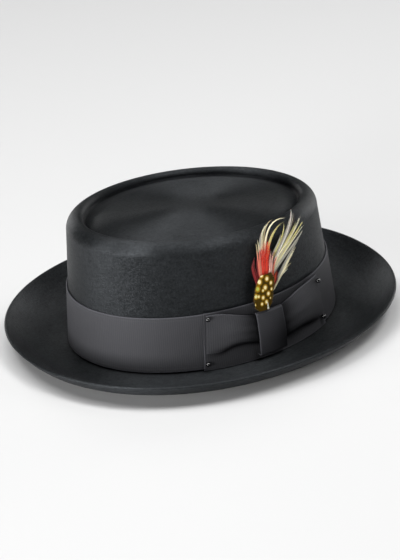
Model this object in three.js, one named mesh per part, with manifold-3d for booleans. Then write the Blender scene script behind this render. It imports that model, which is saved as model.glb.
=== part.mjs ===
// Porkpie hat: a fur felt body with a creased crown and an upturned brim, a grosgrain band,
// a flat bow with a keeper and four pins, and three small feathers tucked into the keeper.
// Millimetres, +Z up. The front is towards -Y, the wearer's left, with the bow, towards +X.
// The hat rests on the flat of its brim's underside, at Z = 0.
import * as THREE from 'three';
import { mergeVertices } from 'three/addons/utils/BufferGeometryUtils.js';
import Module from 'manifold-3d';

const wasm = await Module();
wasm.setup();

// Felt body
const feltWall = 2.2;
const crownBaseLength = 202;
const crownBaseWidth = 160.5;
const crownTopLength = 186.4;
const crownTopWidth = 150.6;
const crownHeight = 90;           // brim's top to the ridge, halfway along the crown
const crownPitch = 8.3;           // how much higher the ridge is in front than behind
const crownCant = 2.4;            // how much higher it is on the left than on the right
const crownLean = 2.4;            // how far the top sits in front of the base
const crownBack = 0.7;            // how far the crown's base sits behind the brim's middle
const shoulderRadius = 9.2;       // outer round of the ridge
const ridgeRadius = 3.4;          // inner round of the ridge
const grooveRadius = 2;
const grooveSteepness = 78;       // degrees, steepest stretch of the crease
const grooveEndsDeeper = 0.3;     // share by which the crease is deeper in front and behind
const tipDrop = 1.2;              // middle of the tip below the ridge
const tipDome = 1.6;
const tipEdge = 0.8;              // share of the tip's radius where its edge starts to fall
const brimLength = 287;           // overall, over the turned-up edge
const brimWidth = 255.4;
const brimRise = 14.9;
const brimSwing = 1.1;            // how much lower the edge is in front than at the sides
const brimFlat = 0.2;             // share of the brim that lies flat
const brimCurl = 3;               // power of the brim's upward curve
const brimRoundness = 2.1;        // exponent of the brim's oval, 2 is an ellipse
const crownRoundness = 2;
const breakRadius = 1.5;          // fillet where the crown meets the brim
const aroundCount = 52;           // facets round the hat

// Ribbon work
const ribbon = 1;
const clearance = 0.3;
const bandHeight = 40.5;
const bandLift = 1.3;             // band's lower edge over the brim's top
const bowAngle = 95.1;            // degrees from the front, towards the wearer's left
const bowLength = 108;            // along the backing's foot
const bowTopLength = 102;
const bowHeight = 42.2;
const bowLift = 0.5;              // backing's lower edge over the brim's top
const wingInset = 1.6;            // backing left bare at each outer end
const wingLift = 3;               // how far a wing stands off the backing at its fullest
const pleatDepth = 0.45;
const wingTuck = 4;               // how far a wing's end goes in under the keeper
const wingPleats = 3;
const keeperWidth = 21;
const keeperHeight = 32;
const keeperOffset = -4;          // keeper's middle from the bow's, towards the front
const keeperFoot = 4;             // keeper's lower edge over the brim's top
const keeperSlot = 1.9;           // room behind the keeper's top fold, for the feather stems
const keeperBelly = 0.9;          // how much fuller the keeper is at mid height
const pinHead = 3.4;
const pinShank = 0.9;
const frontPinInset = 2.5;        // pins' middles from the backing's ends
const backPinInset = 4.2;

// Feathers
const redStem = -4.2;             // each stem's place along the crown from the keeper's middle
const guineaStem = -1.6;
const hackleStem = 1;
const stemWidth = 1.7;
const stemThickness = 1.1;
const stemDepth = 5;              // how far the stems reach down behind the keeper
const featherLayer = 2;           // from one feather to the next in front of it
const redHeight = 49;             // heights are from the keeper's top
const redWidth = 18;
const guineaHeight = 27;
const guineaWidth = 18;
const hackleHeight = 64;
const hackleSpread = 43.5;        // from the stem to the hackle's furthest tip
const hackleRoot = 6;             // where the locks leave the stem
const hackleFan = 1.2;            // how far the tips stand out from the root
const lockThickness = 1.3;
const vane = 1.2;                 // thickness of a blade along its middle
const vaneEdge = 0.35;            // share of that left at its edges
const bladeCrown = 0.5;           // how far a blade's middle stands out from its edges

const degrees = Math.PI / 180;
const brimTop = feltWall;
const mix = THREE.MathUtils.lerp;
const ovalTerm = (value, roundness) => Math.sign(value) * Math.abs(value) ** (2 / roundness);

// A point of an oval. The turn is 0 at the front and grows towards the wearer's left.
function oval(turn, halfLength, halfWidth, roundness, centreY, z) {
  return new THREE.Vector3(
    halfWidth * ovalTerm(Math.sin(turn), roundness),
    centreY - halfLength * ovalTerm(Math.cos(turn), roundness),
    z,
  );
}

// How far the ridge stands over its middle height at this turn.
const ridgePitch = (turn) => (crownPitch * Math.cos(turn) + crownCant * Math.sin(turn)) / 2;
const shoulderZ = (turn) => brimTop + crownHeight - shoulderRadius + ridgePitch(turn);

// A point of the crown's wall, or of the same wall moved outwards.
function onWall(turn, z, outwards = 0) {
  const share = (z - brimTop) / (shoulderZ(turn) - brimTop);
  return oval(
    turn,
    mix(crownBaseLength, crownTopLength, share) / 2 + outwards,
    mix(crownBaseWidth, crownTopWidth, share) / 2 + outwards,
    crownRoundness,
    crownBack - crownLean * share,
    z,
  );
}

const steep = grooveSteepness * degrees;
const grooveWidth = (ridgeRadius + grooveRadius) * Math.sin(steep);
const grooveDrop = (ridgeRadius + grooveRadius) * (1 - Math.cos(steep));
const creaseScale = (turn) => 1 + grooveEndsDeeper * Math.cos(turn) ** 2;
const crestZ = (turn) => shoulderZ(turn) + shoulderRadius;

// The upper face stops short of the brim's outline, which the wall of the edge fills out.
const brimRun = (brimWidth - crownBaseWidth) / 2 - breakRadius;
const edgeSlope = Math.atan((brimCurl / (1 - brimFlat)) * (brimRise / brimRun));
const edgeReach = feltWall * Math.sin(edgeSlope);

// The felt's upper face, in five stretches. Each takes a share of its own run and the turn.
const stretches = {
  tip(share, turn) {
    const inset = shoulderRadius + grooveWidth;
    const past = Math.max(0, share - tipEdge) / (1 - tipEdge);
    const fall = (1 - Math.cos(Math.PI * past)) / 2;
    const edgeDrop = grooveDrop * creaseScale(turn) - tipDrop - tipDome;
    const halfLength = (crownTopLength / 2 - inset) * share;
    const halfWidth = (crownTopWidth / 2 - inset) * share;
    const z = brimTop + crownHeight + ridgePitch(turn) * share
      - tipDrop - tipDome * share ** 2 - edgeDrop * fall;
    return oval(turn, halfLength, halfWidth, crownRoundness, crownBack - crownLean, z);
  },
  crease(share, turn) {
    const onRidge = share < 0.5;
    const bend = steep * 2 * (onRidge ? share : 1 - share);
    const inset = onRidge
      ? ridgeRadius * Math.sin(bend)
      : grooveWidth - grooveRadius * Math.sin(bend);
    const drop = onRidge
      ? ridgeRadius * (1 - Math.cos(bend))
      : grooveDrop - grooveRadius * (1 - Math.cos(bend));
    return ridgePoint(turn, shoulderRadius + inset, crestZ(turn) - drop * creaseScale(turn));
  },
  shoulder(share, turn) {
    const bend = share * Math.PI / 2;
    const inset = shoulderRadius * (1 - Math.sin(bend));
    return ridgePoint(turn, inset, shoulderZ(turn) + shoulderRadius * Math.cos(bend));
  },
  wall(share, turn) {
    return onWall(turn, mix(shoulderZ(turn), brimTop + breakRadius, share));
  },
  fold(share, turn) {
    const bend = share * Math.PI / 2;
    const z = brimTop + breakRadius * (1 - Math.sin(bend));
    return onWall(turn, z, breakRadius * (1 - Math.cos(bend)));
  },
  brim(share, turn) {
    const climb = Math.max(0, share - brimFlat) / (1 - brimFlat);
    const edge = brimRise - brimSwing * Math.cos(turn);
    return oval(
      turn,
      mix(crownBaseLength / 2 + breakRadius, brimLength / 2 - edgeReach, share),
      mix(crownBaseWidth / 2 + breakRadius, brimWidth / 2 - edgeReach, share),
      mix(crownRoundness, brimRoundness, share),
      crownBack * (1 - share),
      brimTop + edge * climb ** brimCurl,
    );
  },
};

function ridgePoint(turn, inset, z) {
  return oval(turn, crownTopLength / 2 - inset, crownTopWidth / 2 - inset,
    crownRoundness, crownBack - crownLean, z);
}

// The rings of the felt, from the middle of the tip to the brim's edge.
const ringTable = [
  { on: 'tip', shares: [0.3, 0.6, 0.8, 0.87, 0.94] },
  { on: 'crease', shares: [1, 0.72, 0.5, 0.25] },
  { on: 'shoulder', shares: [0, 0.25, 0.5, 0.75] },
  { on: 'wall', shares: [0, 0.5, 1] },
  { on: 'fold', shares: [0.5, 1] },
  { on: 'brim', shares: [0.08, 0.16, 0.34, 0.5, 0.63, 0.75, 0.85, 0.93, 1] },
];

// The felt's normal at a point of one stretch, found from points close beside it.
function feltNormal(stretch, share, turn) {
  const step = 1e-4;
  const along = stretch(share + step, turn).sub(stretch(share - step, turn));
  const around = stretch(share, turn + step).sub(stretch(share, turn - step));
  return along.cross(around).normalize();
}

// Closes a stack of rings, each with the same number of points, into a solid's geometry.
// A cap is one point, or left out where the stack's first and last rings join each other.
function stackRings(rings, firstCap, lastCap) {
  const count = rings[0].length;
  const points = rings.flat();
  const faces = [];
  const quad = (a, b, c, d) => faces.push(a, b, c, a, c, d);
  const links = firstCap ? rings.length - 1 : rings.length;
  for (let row = 0; row < links; row += 1) {
    const here = row * count;
    const next = ((row + 1) % rings.length) * count;
    for (let i = 0; i < count; i += 1) {
      const j = (i + 1) % count;
      quad(here + i, next + i, next + j, here + j);
    }
  }
  if (firstCap) {
    const first = points.push(firstCap) - 1;
    const last = points.push(lastCap) - 1;
    const end = (rings.length - 1) * count;
    for (let i = 0; i < count; i += 1) {
      const j = (i + 1) % count;
      faces.push(first, i, j);
      faces.push(end + i, last, end + j);
    }
  }
  const geometry = new THREE.BufferGeometry().setFromPoints(points);
  geometry.setIndex(faces);
  return geometry;
}

function hatBody() {
  const turns = Array.from({ length: aroundCount }, (_, i) => (i / aroundCount) * 2 * Math.PI);
  const upper = [];
  const under = [];
  for (const { on, shares } of ringTable) {
    const stretch = stretches[on];
    const facing = on === 'crease' ? -1 : 1;
    for (const share of shares) {
      upper.push(turns.map((turn) => stretch(share, turn)));
      under.push(turns.map((turn) => stretch(share, turn)
        .addScaledVector(feltNormal(stretch, share, turn), -feltWall * facing)));
    }
  }
  const top = upper.at(-1);
  const bottom = under.at(-1);
  const edge = top.map((point, i) => {
    const middle = point.clone().lerp(bottom[i], 0.5);
    const across = bottom[i].clone().sub(point).normalize();
    const round = new THREE.Vector3(-Math.sin(-turns[i]), -Math.cos(turns[i]), 0);
    const outwards = round.addScaledVector(across, -round.dot(across)).normalize();
    return middle.addScaledVector(outwards, feltWall * 0.4);
  });
  const middleTop = new THREE.Vector3(0, crownBack - crownLean, brimTop + crownHeight - tipDrop);
  const middleUnder = middleTop.clone().setZ(middleTop.z - feltWall);
  return stackRings([...upper, edge, ...under.reverse()], middleTop, middleUnder);
}

// Turn at a distance along the band from the bow's middle, negative towards the front.
function turnAt(distance) {
  const steps = 24;
  let turn = bowAngle * degrees;
  for (let i = 0; i < steps; i += 1) {
    const pace = Math.hypot(
      (crownBaseWidth / 2) * Math.cos(turn),
      (crownBaseLength / 2) * Math.sin(turn),
    );
    turn += distance / steps / pace;
  }
  return turn;
}

const bandFace = clearance + ribbon;
const backingBack = bandFace + clearance;
const backingFace = backingBack + ribbon;
const wingBack = backingFace + clearance;
const wingFace = wingBack + ribbon;
const bowEnd = (share) => mix(bowLength, bowTopLength, share) / 2;

function hatBand() {
  const low = brimTop + bandLift;
  const high = low + bandHeight;
  const corners = [
    { z: low, out: clearance },
    { z: high, out: clearance },
    { z: high, out: bandFace },
    { z: low, out: bandFace },
  ];
  const rings = corners.map(({ z, out }) => Array.from({ length: aroundCount }, (_, i) => (
    onWall((i / aroundCount) * 2 * Math.PI, z, out))));
  return stackRings(rings);
}

// A sheet of ribbon along the crown. place(u, v, face) gives a point of its back (face 0)
// or front (face 1), with u along the crown and v upwards, both from 0 to 1.
function sheet(columns, rows, place) {
  const points = [];
  const faces = [];
  const index = (i, j, face) => (face * (columns + 1) + i) * (rows + 1) + j;
  for (const face of [0, 1]) {
    for (let i = 0; i <= columns; i += 1) {
      for (let j = 0; j <= rows; j += 1) {
        points.push(place(i / columns, j / rows, face));
      }
    }
  }
  const quad = (a, b, c, d) => faces.push(a, b, c, a, c, d);
  for (let i = 0; i < columns; i += 1) {
    for (let j = 0; j < rows; j += 1) {
      quad(index(i, j, 1), index(i + 1, j, 1), index(i + 1, j + 1, 1), index(i, j + 1, 1));
      quad(index(i, j, 0), index(i, j + 1, 0), index(i + 1, j + 1, 0), index(i + 1, j, 0));
    }
    quad(index(i, 0, 0), index(i + 1, 0, 0), index(i + 1, 0, 1), index(i, 0, 1));
    quad(index(i, rows, 0), index(i, rows, 1), index(i + 1, rows, 1), index(i + 1, rows, 0));
  }
  for (let j = 0; j < rows; j += 1) {
    quad(index(0, j, 0), index(0, j, 1), index(0, j + 1, 1), index(0, j + 1, 0));
    quad(index(columns, j, 0), index(columns, j + 1, 0), index(columns, j + 1, 1),
      index(columns, j, 1));
  }
  const geometry = new THREE.BufferGeometry().setFromPoints(points);
  geometry.setIndex(faces);
  return geometry;
}

function bowBacking() {
  const low = brimTop + bowLift;
  return sheet(16, 2, (u, v, face) => onWall(
    turnAt(mix(-bowEnd(v), bowEnd(v), u)),
    low + bowHeight * v,
    mix(backingBack, backingFace, face),
  ));
}

// Sections of the two wings, from the outer end to the keeper. Heights are shares of the
// bow's height, the lift is a share of the wing's, and pleats a share of their depth.
const frontWing = [
  { along: 0, low: 0.31, high: 0.97, lift: 0.05, pleats: 0 },
  { along: 0.25, low: 0.32, high: 0.96, lift: 0.45, pleats: 0.1 },
  { along: 0.5, low: 0.39, high: 0.9, lift: 0.9, pleats: 0.3 },
  { along: 0.75, low: 0.38, high: 0.83, lift: 0.9, pleats: 0.7 },
  { along: 1, low: 0.31, high: 0.76, lift: 0.45, pleats: 1 },
];
const backWing = [
  { along: 0, low: 0.24, high: 0.96, lift: 0.05, pleats: 0 },
  { along: 0.25, low: 0.26, high: 0.95, lift: 0.45, pleats: 0.1 },
  { along: 0.5, low: 0.3, high: 0.92, lift: 0.9, pleats: 0.3 },
  { along: 0.75, low: 0.3, high: 0.85, lift: 0.9, pleats: 0.7 },
  { along: 1, low: 0.24, high: 0.78, lift: 0.45, pleats: 1 },
];

function sectionAt(table, along) {
  const last = table.length - 1;
  const next = Math.min(last, Math.max(1, table.findIndex((row) => row.along >= along)));
  const from = table[next - 1];
  const to = table[next];
  const share = (along - from.along) / (to.along - from.along);
  const value = (column) => mix(from[column], to[column], share);
  return { low: value('low'), high: value('high'), lift: value('lift'), pleats: value('pleats') };
}

function bowWing(table, side) {
  const inner = keeperOffset + side * (keeperWidth / 2 - wingTuck);
  return sheet(12, 8, (u, v, face) => {
    const along = side < 0 ? u : 1 - u;
    const section = sectionAt(table, along);
    const share = mix(section.low, section.high, v);
    const outer = side * (bowEnd(share) - wingInset);
    const belly = Math.sin(Math.PI * Math.min(1, (1 + 3 * v) / 4));
    const fold = (1 - Math.cos(2 * Math.PI * wingPleats * v)) / 2;
    const lift = wingLift * section.lift * belly + pleatDepth * section.pleats * fold;
    return onWall(
      turnAt(mix(outer, inner, along)),
      brimTop + bowLift + bowHeight * share,
      wingBack + lift + ribbon * face,
    );
  });
}

// The keeper's section: a strip that runs up over the wings and folds in at both ends.
function bowKeeper() {
  const wingEnd = wingLift * Math.max(frontWing.at(-1).lift, backWing.at(-1).lift) + pleatDepth;
  const inner = wingFace + wingEnd + clearance;
  const outer = inner + ribbon;
  const corner = (inner - wingBack) / 4;
  const low = brimTop + keeperFoot;
  const high = low + keeperHeight;
  const middle = (low + high) / 2;
  const slot = wingBack + keeperSlot - clearance;
  const inside = [
    { z: low + ribbon, out: wingBack },
    { z: low + ribbon, out: inner - corner },
    { z: low + ribbon + 2 * corner, out: inner },
    { z: middle, out: inner + keeperBelly },
    { z: high - ribbon - 2 * corner, out: inner },
    { z: high - ribbon, out: inner - corner },
    { z: high - ribbon, out: slot },
  ];
  const outside = [
    { z: low, out: wingBack },
    { z: low, out: outer - corner },
    { z: low + 2 * corner, out: outer },
    { z: middle, out: outer + keeperBelly },
    { z: high - 2 * corner, out: outer },
    { z: high, out: outer - corner },
    { z: high, out: slot },
  ];
  return sheet(4, inside.length - 1, (u, v, face) => {
    const { z, out } = (face ? outside : inside)[Math.round(v * (inside.length - 1))];
    return onWall(turnAt(keeperOffset + (u - 0.5) * keeperWidth), z, out);
  });
}

function toManifold(geometry) {
  const bare = geometry.clone();
  bare.deleteAttribute('normal');
  bare.deleteAttribute('uv');
  const merged = mergeVertices(bare);
  return new wasm.Manifold(new wasm.Mesh({
    numProp: 3,
    vertProperties: new Float32Array(merged.attributes.position.array),
    triVerts: new Uint32Array(merged.index.array),
  }));
}

function toGeometry(manifold) {
  const { vertProperties, triVerts } = manifold.getMesh();
  const geometry = new THREE.BufferGeometry();
  geometry.setAttribute('position', new THREE.BufferAttribute(vertProperties, 3));
  geometry.setIndex(new THREE.BufferAttribute(triVerts, 1));
  return geometry;
}

// Where each pin goes in: the bow's end and its inset from it, its share of the height, and
// what the head sits on.
const pinTable = [
  { name: 'front_top', end: -1, inset: frontPinInset, up: 0.93, seatedOn: wingFace },
  { name: 'front_bottom', end: -1, inset: frontPinInset, up: 0.13, seatedOn: backingFace },
  { name: 'back_top', end: 1, inset: backPinInset, up: 0.88, seatedOn: wingFace },
  { name: 'back_bottom', end: 1, inset: backPinInset, up: 0.18, seatedOn: backingFace },
];

function pinPlace({ end, inset, up, seatedOn }) {
  const turn = turnAt(end * (bowEnd(up) - inset));
  const z = brimTop + bowLift + bowHeight * up;
  const seat = onWall(turn, z, seatedOn);
  const outwards = onWall(turn, z, seatedOn + 1).sub(seat).normalize();
  return { seat, outwards };
}

// How deep a pin's shank goes, to just behind the backing.
const pinDepth = ({ seatedOn }) => seatedOn - backingBack + clearance / 3;

// A round head on a short shank that goes through the ribbons it holds.
function bowPin(pin) {
  const { seat, outwards } = pinPlace(pin);
  const shankEnd = -pinDepth(pin);
  const profile = [new THREE.Vector2(0, shankEnd), new THREE.Vector2(pinShank / 2, shankEnd)];
  const seatAngle = Math.asin(pinShank / pinHead);
  const middle = clearance + pinHead / 2;
  const steps = 5;
  for (let i = 0; i <= steps; i += 1) {
    const angle = mix(seatAngle, Math.PI, i / steps);
    const across = i === steps ? 0 : (pinHead / 2) * Math.sin(angle);
    profile.push(new THREE.Vector2(across, middle - (pinHead / 2) * Math.cos(angle)));
  }
  const geometry = new THREE.LatheGeometry(profile, 10);
  geometry.applyQuaternion(new THREE.Quaternion()
    .setFromUnitVectors(new THREE.Vector3(0, 1, 0), outwards));
  return geometry.translate(seat.x, seat.y, seat.z);
}

function withPinHoles(geometry) {
  let solid = toManifold(geometry);
  const radius = pinShank / 2 + clearance;
  for (const pin of pinTable) {
    const { seat, outwards } = pinPlace(pin);
    const hole = new THREE.CylinderGeometry(radius, radius, 2 * (pinDepth(pin) + ribbon), 10);
    hole.applyQuaternion(new THREE.Quaternion()
      .setFromUnitVectors(new THREE.Vector3(0, 1, 0), outwards));
    hole.translate(seat.x, seat.y, seat.z);
    solid = solid.subtract(toManifold(hole));
  }
  return toGeometry(solid);
}

// A feather's own place: sideways along the crown from the keeper's middle, up from the
// keeper's top, and out from the stem's layer.
const keeperTop = brimTop + keeperFoot + keeperHeight;
const stemLayer = wingBack + stemThickness / 2;
function featherPoint(side, up, out) {
  return onWall(turnAt(keeperOffset + side), keeperTop + up, stemLayer + out);
}

// A flat stem that goes down behind the keeper, and steps out to its own blade above it.
function stem(side, layer, reach) {
  const half = stemWidth / 2;
  const rows = [
    { up: -stemDepth, out: 0 },
    { up: clearance * 2, out: 0 },
    { up: reach, out: layer },
  ];
  return sheet(1, rows.length - 1, (u, v, face) => {
    const { up, out } = rows[Math.round(v * (rows.length - 1))];
    const across = side + mix(-half, half, u);
    return featherPoint(across, up, out + (face - 0.5) * stemThickness);
  });
}

// A leaf-shaped blade from a table of its outline, as a closed shell.
function blade(outline, side, width, height, layer) {
  return sheet(4, outline.length - 1, (u, v, face) => {
    const row = outline[Math.round(v * (outline.length - 1))];
    const middle = Math.sin(Math.PI * u);
    const thick = vane * mix(vaneEdge, 1, middle);
    return featherPoint(
      side + width * mix(row.left, row.right, u),
      height * row.up,
      layer + bladeCrown * middle + (face - 0.5) * thick,
    );
  });
}

// A pointed strip of barbs along a curve, from the stem to its tip.
function lock(row) {
  const place = (side, up) => new THREE.Vector2(hackleStem + side, up);
  const curve = new THREE.QuadraticBezierCurve(
    place(row.root * stemWidth, hackleRoot),
    place(row.bendSide * hackleSpread, row.bendUp * hackleHeight),
    place(row.tipSide * hackleSpread, row.tipUp * hackleHeight),
  );
  const rings = lockShape.map(({ along, width, thickness }) => {
    const { x, y } = curve.getPoint(along);
    const tangent = curve.getTangent(along);
    const half = (row.width * width * hackleSpread) / 2;
    const thick = (lockThickness * thickness) / 2;
    const corner = (across, outwards) => featherPoint(
      x - tangent.y * across * half,
      y + tangent.x * across * half,
      hackleFan * along + outwards * thick,
    );
    return [corner(-1, 0), corner(0, 1), corner(1, 0), corner(0, -1)];
  });
  const centre = (ring) => ring.reduce((sum, point) => sum.add(point), new THREE.Vector3())
    .divideScalar(ring.length);
  return stackRings(rings, centre(rings[0]), centre(rings.at(-1)));
}

// A lock's width and thickness along its length, as shares of its fullest.
const lockShape = [
  { along: 0, width: 0.54, thickness: 1 },
  { along: 0.17, width: 0.83, thickness: 0.92 },
  { along: 0.33, width: 0.99, thickness: 0.83 },
  { along: 0.5, width: 0.97, thickness: 0.75 },
  { along: 0.67, width: 0.77, thickness: 0.67 },
  { along: 0.83, width: 0.45, thickness: 0.58 },
  { along: 1, width: 0.12, thickness: 0.5 },
];

// The hackle's locks. Sides and widths are shares of its spread, ups of its height, and the
// root is a share of the stem's width.
const hackleLocks = [
  { root: -0.5, bendSide: -0.23, bendUp: 0.47, tipSide: -0.11, tipUp: 0.78, width: 0.115 },
  { root: -0.5, bendSide: -0.16, bendUp: 0.53, tipSide: 0.02, tipUp: 0.86, width: 0.138 },
  { root: -0.3, bendSide: -0.09, bendUp: 0.59, tipSide: 0.14, tipUp: 0.93, width: 0.138 },
  { root: -0.2, bendSide: 0.02, bendUp: 0.72, tipSide: 0.28, tipUp: 0.97, width: 0.138 },
  { root: -0.1, bendSide: 0.14, bendUp: 0.78, tipSide: 0.57, tipUp: 0.92, width: 0.16 },
  { root: 0, bendSide: 0.32, bendUp: 0.62, tipSide: 0.72, tipUp: 1, width: 0.16 },
  { root: 0.2, bendSide: 0.41, bendUp: 0.53, tipSide: 0.92, tipUp: 0.86, width: 0.184 },
  { root: 0.4, bendSide: 0.46, bendUp: 0.38, tipSide: 1, tipUp: 0.73, width: 0.184 },
  { root: 0.5, bendSide: 0.41, bendUp: 0.25, tipSide: 0.86, tipUp: 0.64, width: 0.16 },
];

// Outlines of the two blades, from the foot to the tip: left and right are shares of the
// width from the stem, up is a share of the height.
const redOutline = [
  { up: 0.05, left: -0.04, right: 0.04 },
  { up: 0.29, left: -0.16, right: 0.29 },
  { up: 0.53, left: -0.21, right: 0.51 },
  { up: 0.67, left: -0.26, right: 0.62 },
  { up: 0.8, left: -0.1, right: 0.71 },
  { up: 0.92, left: 0.34, right: 0.76 },
  { up: 1, left: 0.62, right: 0.73 },
];
const guineaOutline = [
  { up: 0.055, left: -0.38, right: 0.06 },
  { up: 0.185, left: -0.53, right: 0.2 },
  { up: 0.41, left: -0.56, right: 0.3 },
  { up: 0.63, left: -0.47, right: 0.41 },
  { up: 0.815, left: -0.37, right: 0.46 },
  { up: 1, left: -0.14, right: 0.33 },
];

function hackleFeather() {
  let solid = toManifold(stem(hackleStem, 0, hackleRoot + stemWidth));
  for (const row of hackleLocks) {
    solid = solid.add(toManifold(lock(row)));
  }
  return toGeometry(solid);
}

function bladeFeather(outline, side, width, height, layer) {
  const reach = stemThickness * 2 + layer / 2;
  return toGeometry(toManifold(stem(side, layer, reach))
    .add(toManifold(blade(outline, side, width, height, layer))));
}

const felt = { color: 0x232326, roughness: 0.95, metalness: 0 };
const grosgrain = { color: 0x34343a, roughness: 0.8, metalness: 0 };
const blackGlass = { color: 0x0b0b0c, roughness: 0.15, metalness: 0 };
const paleHackle = { color: 0xd8cfae, roughness: 0.8, metalness: 0 };
const redBarbs = { color: 0xd23a22, roughness: 0.8, metalness: 0 };
const guineaBarbs = { color: 0x5c4310, roughness: 0.8, metalness: 0 };

const hat = new THREE.Group();

function addPiece(name, geometry, finish) {
  const flat = geometry.index ? geometry.toNonIndexed() : geometry;
  flat.computeVertexNormals();
  const piece = new THREE.Mesh(flat, new THREE.MeshStandardMaterial(finish));
  piece.name = name;
  hat.add(piece);
}

addPiece('hat_body', hatBody(), felt);
addPiece('hat_band', hatBand(), grosgrain);
addPiece('bow_backing', withPinHoles(bowBacking()), grosgrain);
addPiece('bow_wing_front', withPinHoles(bowWing(frontWing, -1)), grosgrain);
addPiece('bow_wing_back', withPinHoles(bowWing(backWing, 1)), grosgrain);
addPiece('bow_keeper', bowKeeper(), grosgrain);
for (const pin of pinTable) {
  addPiece(`bow_pin_${pin.name}`, bowPin(pin), blackGlass);
}
addPiece('hackle_feather', hackleFeather(), paleHackle);
addPiece('red_feather', bladeFeather(redOutline, redStem, redWidth, redHeight,
  featherLayer), redBarbs);
addPiece('guinea_feather', bladeFeather(guineaOutline, guineaStem, guineaWidth, guineaHeight,
  featherLayer * 2), guineaBarbs);

export default hat;
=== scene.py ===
"""Porkpie hat: black fur felt, a grosgrain band and side bow, and three small feathers.

Metres, +Z up. The front of the hat is towards -Y and the wearer's left, with the bow,
towards +X. The hat rests on the flat of its brim's underside, at Z = 0.
"""
import math

import bmesh
import bpy
import numpy as np
from bpy.props import FloatProperty, FloatVectorProperty, IntProperty, PointerProperty
from mathutils import Matrix, Vector


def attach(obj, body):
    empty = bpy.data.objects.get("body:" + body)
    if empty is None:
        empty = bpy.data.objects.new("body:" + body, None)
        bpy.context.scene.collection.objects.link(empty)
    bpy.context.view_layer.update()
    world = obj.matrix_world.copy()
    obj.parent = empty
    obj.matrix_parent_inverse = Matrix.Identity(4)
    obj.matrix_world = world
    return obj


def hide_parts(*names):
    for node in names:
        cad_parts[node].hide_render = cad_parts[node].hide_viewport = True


bl_info = {
    "name": "Porkpie Hat",
    "version": (1, 0, 0),
    "blender": (4, 5, 0),
    "location": "View3D > Sidebar > Hat",
    "description": "Builds a felt porkpie hat with a ribbon bow and feathers",
    "category": "Add Mesh",
}

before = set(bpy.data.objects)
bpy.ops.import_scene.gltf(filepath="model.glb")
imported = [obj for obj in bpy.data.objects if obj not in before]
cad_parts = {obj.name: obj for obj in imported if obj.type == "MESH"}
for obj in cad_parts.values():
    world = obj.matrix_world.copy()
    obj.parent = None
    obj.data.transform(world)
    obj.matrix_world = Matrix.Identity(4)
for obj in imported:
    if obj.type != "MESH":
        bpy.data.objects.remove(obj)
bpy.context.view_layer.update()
MM = 0.001
BODY = "root"


def from_hex(text):
    """The linear colour of an sRGB hex value such as #1a2b3c."""
    values = [int(text[i:i + 2], 16) / 255 for i in (1, 3, 5)]
    return tuple(v / 12.92 if v <= 0.04045 else ((v + 0.055) / 1.055) ** 2.4 for v in values)


# Sizes and colours

def length(name, millimetres, description):
    return FloatProperty(name=name, description=description, default=millimetres * MM,
                         unit="LENGTH", precision=4)


def share(name, value, description):
    return FloatProperty(name=name, description=description, default=value)


def angle(name, degrees, description):
    return FloatProperty(name=name, description=description, default=math.radians(degrees),
                         subtype="ANGLE", unit="ROTATION")


def colour(name, text, description):
    return FloatVectorProperty(name=name, description=description, default=from_hex(text),
                               subtype="COLOR", size=3, min=0, max=1)


class HatFeltSizes(bpy.types.PropertyGroup):
    """Sizes of the felt body"""
    wall: length("Felt", 2.2, "Thickness of the felt")
    base_length: length("Crown base length", 202, "Crown at the brim, front to back")
    base_width: length("Crown base width", 160.5, "Crown at the brim, side to side")
    top_length: length("Crown top length", 186.4, "Crown at the ridge, front to back")
    top_width: length("Crown top width", 150.6, "Crown at the ridge, side to side")
    height: length("Crown height", 90, "Brim to ridge, halfway along the crown")
    pitch: length("Crown pitch", 8.3, "How much higher the ridge is in front than behind")
    cant: length("Crown cant", 2.4, "How much higher the ridge is on the left")
    lean: length("Crown lean", 2.4, "How far the top sits in front of the base")
    back: length("Crown back", 0.7, "How far the base sits behind the brim's middle")
    shoulder: length("Shoulder radius", 9.2, "Outer round of the ridge")
    ridge: length("Ridge radius", 3.4, "Inner round of the ridge")
    groove: length("Groove radius", 2, "Round at the bottom of the crease")
    steepness: angle("Crease steepness", 78, "Steepest stretch of the crease")
    ends_deeper: share("Deeper ends", 0.3, "Share by which the crease is deeper at both ends")
    tip_drop: length("Tip drop", 1.2, "Middle of the tip below the ridge")
    tip_dome: length("Tip dome", 1.6, "How much the tip falls towards its edge")
    tip_edge: share("Tip edge", 0.8, "Share of the tip's radius where its edge starts to fall")
    brim_length: length("Brim length", 287, "Over the turned-up edge, front to back")
    brim_width: length("Brim width", 255.4, "Over the turned-up edge, side to side")
    brim_rise: length("Brim rise", 14.9, "Height of the edge over the flat of the brim")
    brim_swing: length("Brim swing", 1.1, "How much lower the edge is in front than beside")
    brim_flat: share("Brim flat", 0.2, "Share of the brim that lies flat")
    brim_curl: share("Brim curl", 3, "Power of the brim's upward curve")
    brim_roundness: share("Brim roundness", 2.1, "Exponent of the brim's oval")
    fold: length("Crown break radius", 1.5, "Fillet where the crown meets the brim")


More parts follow.
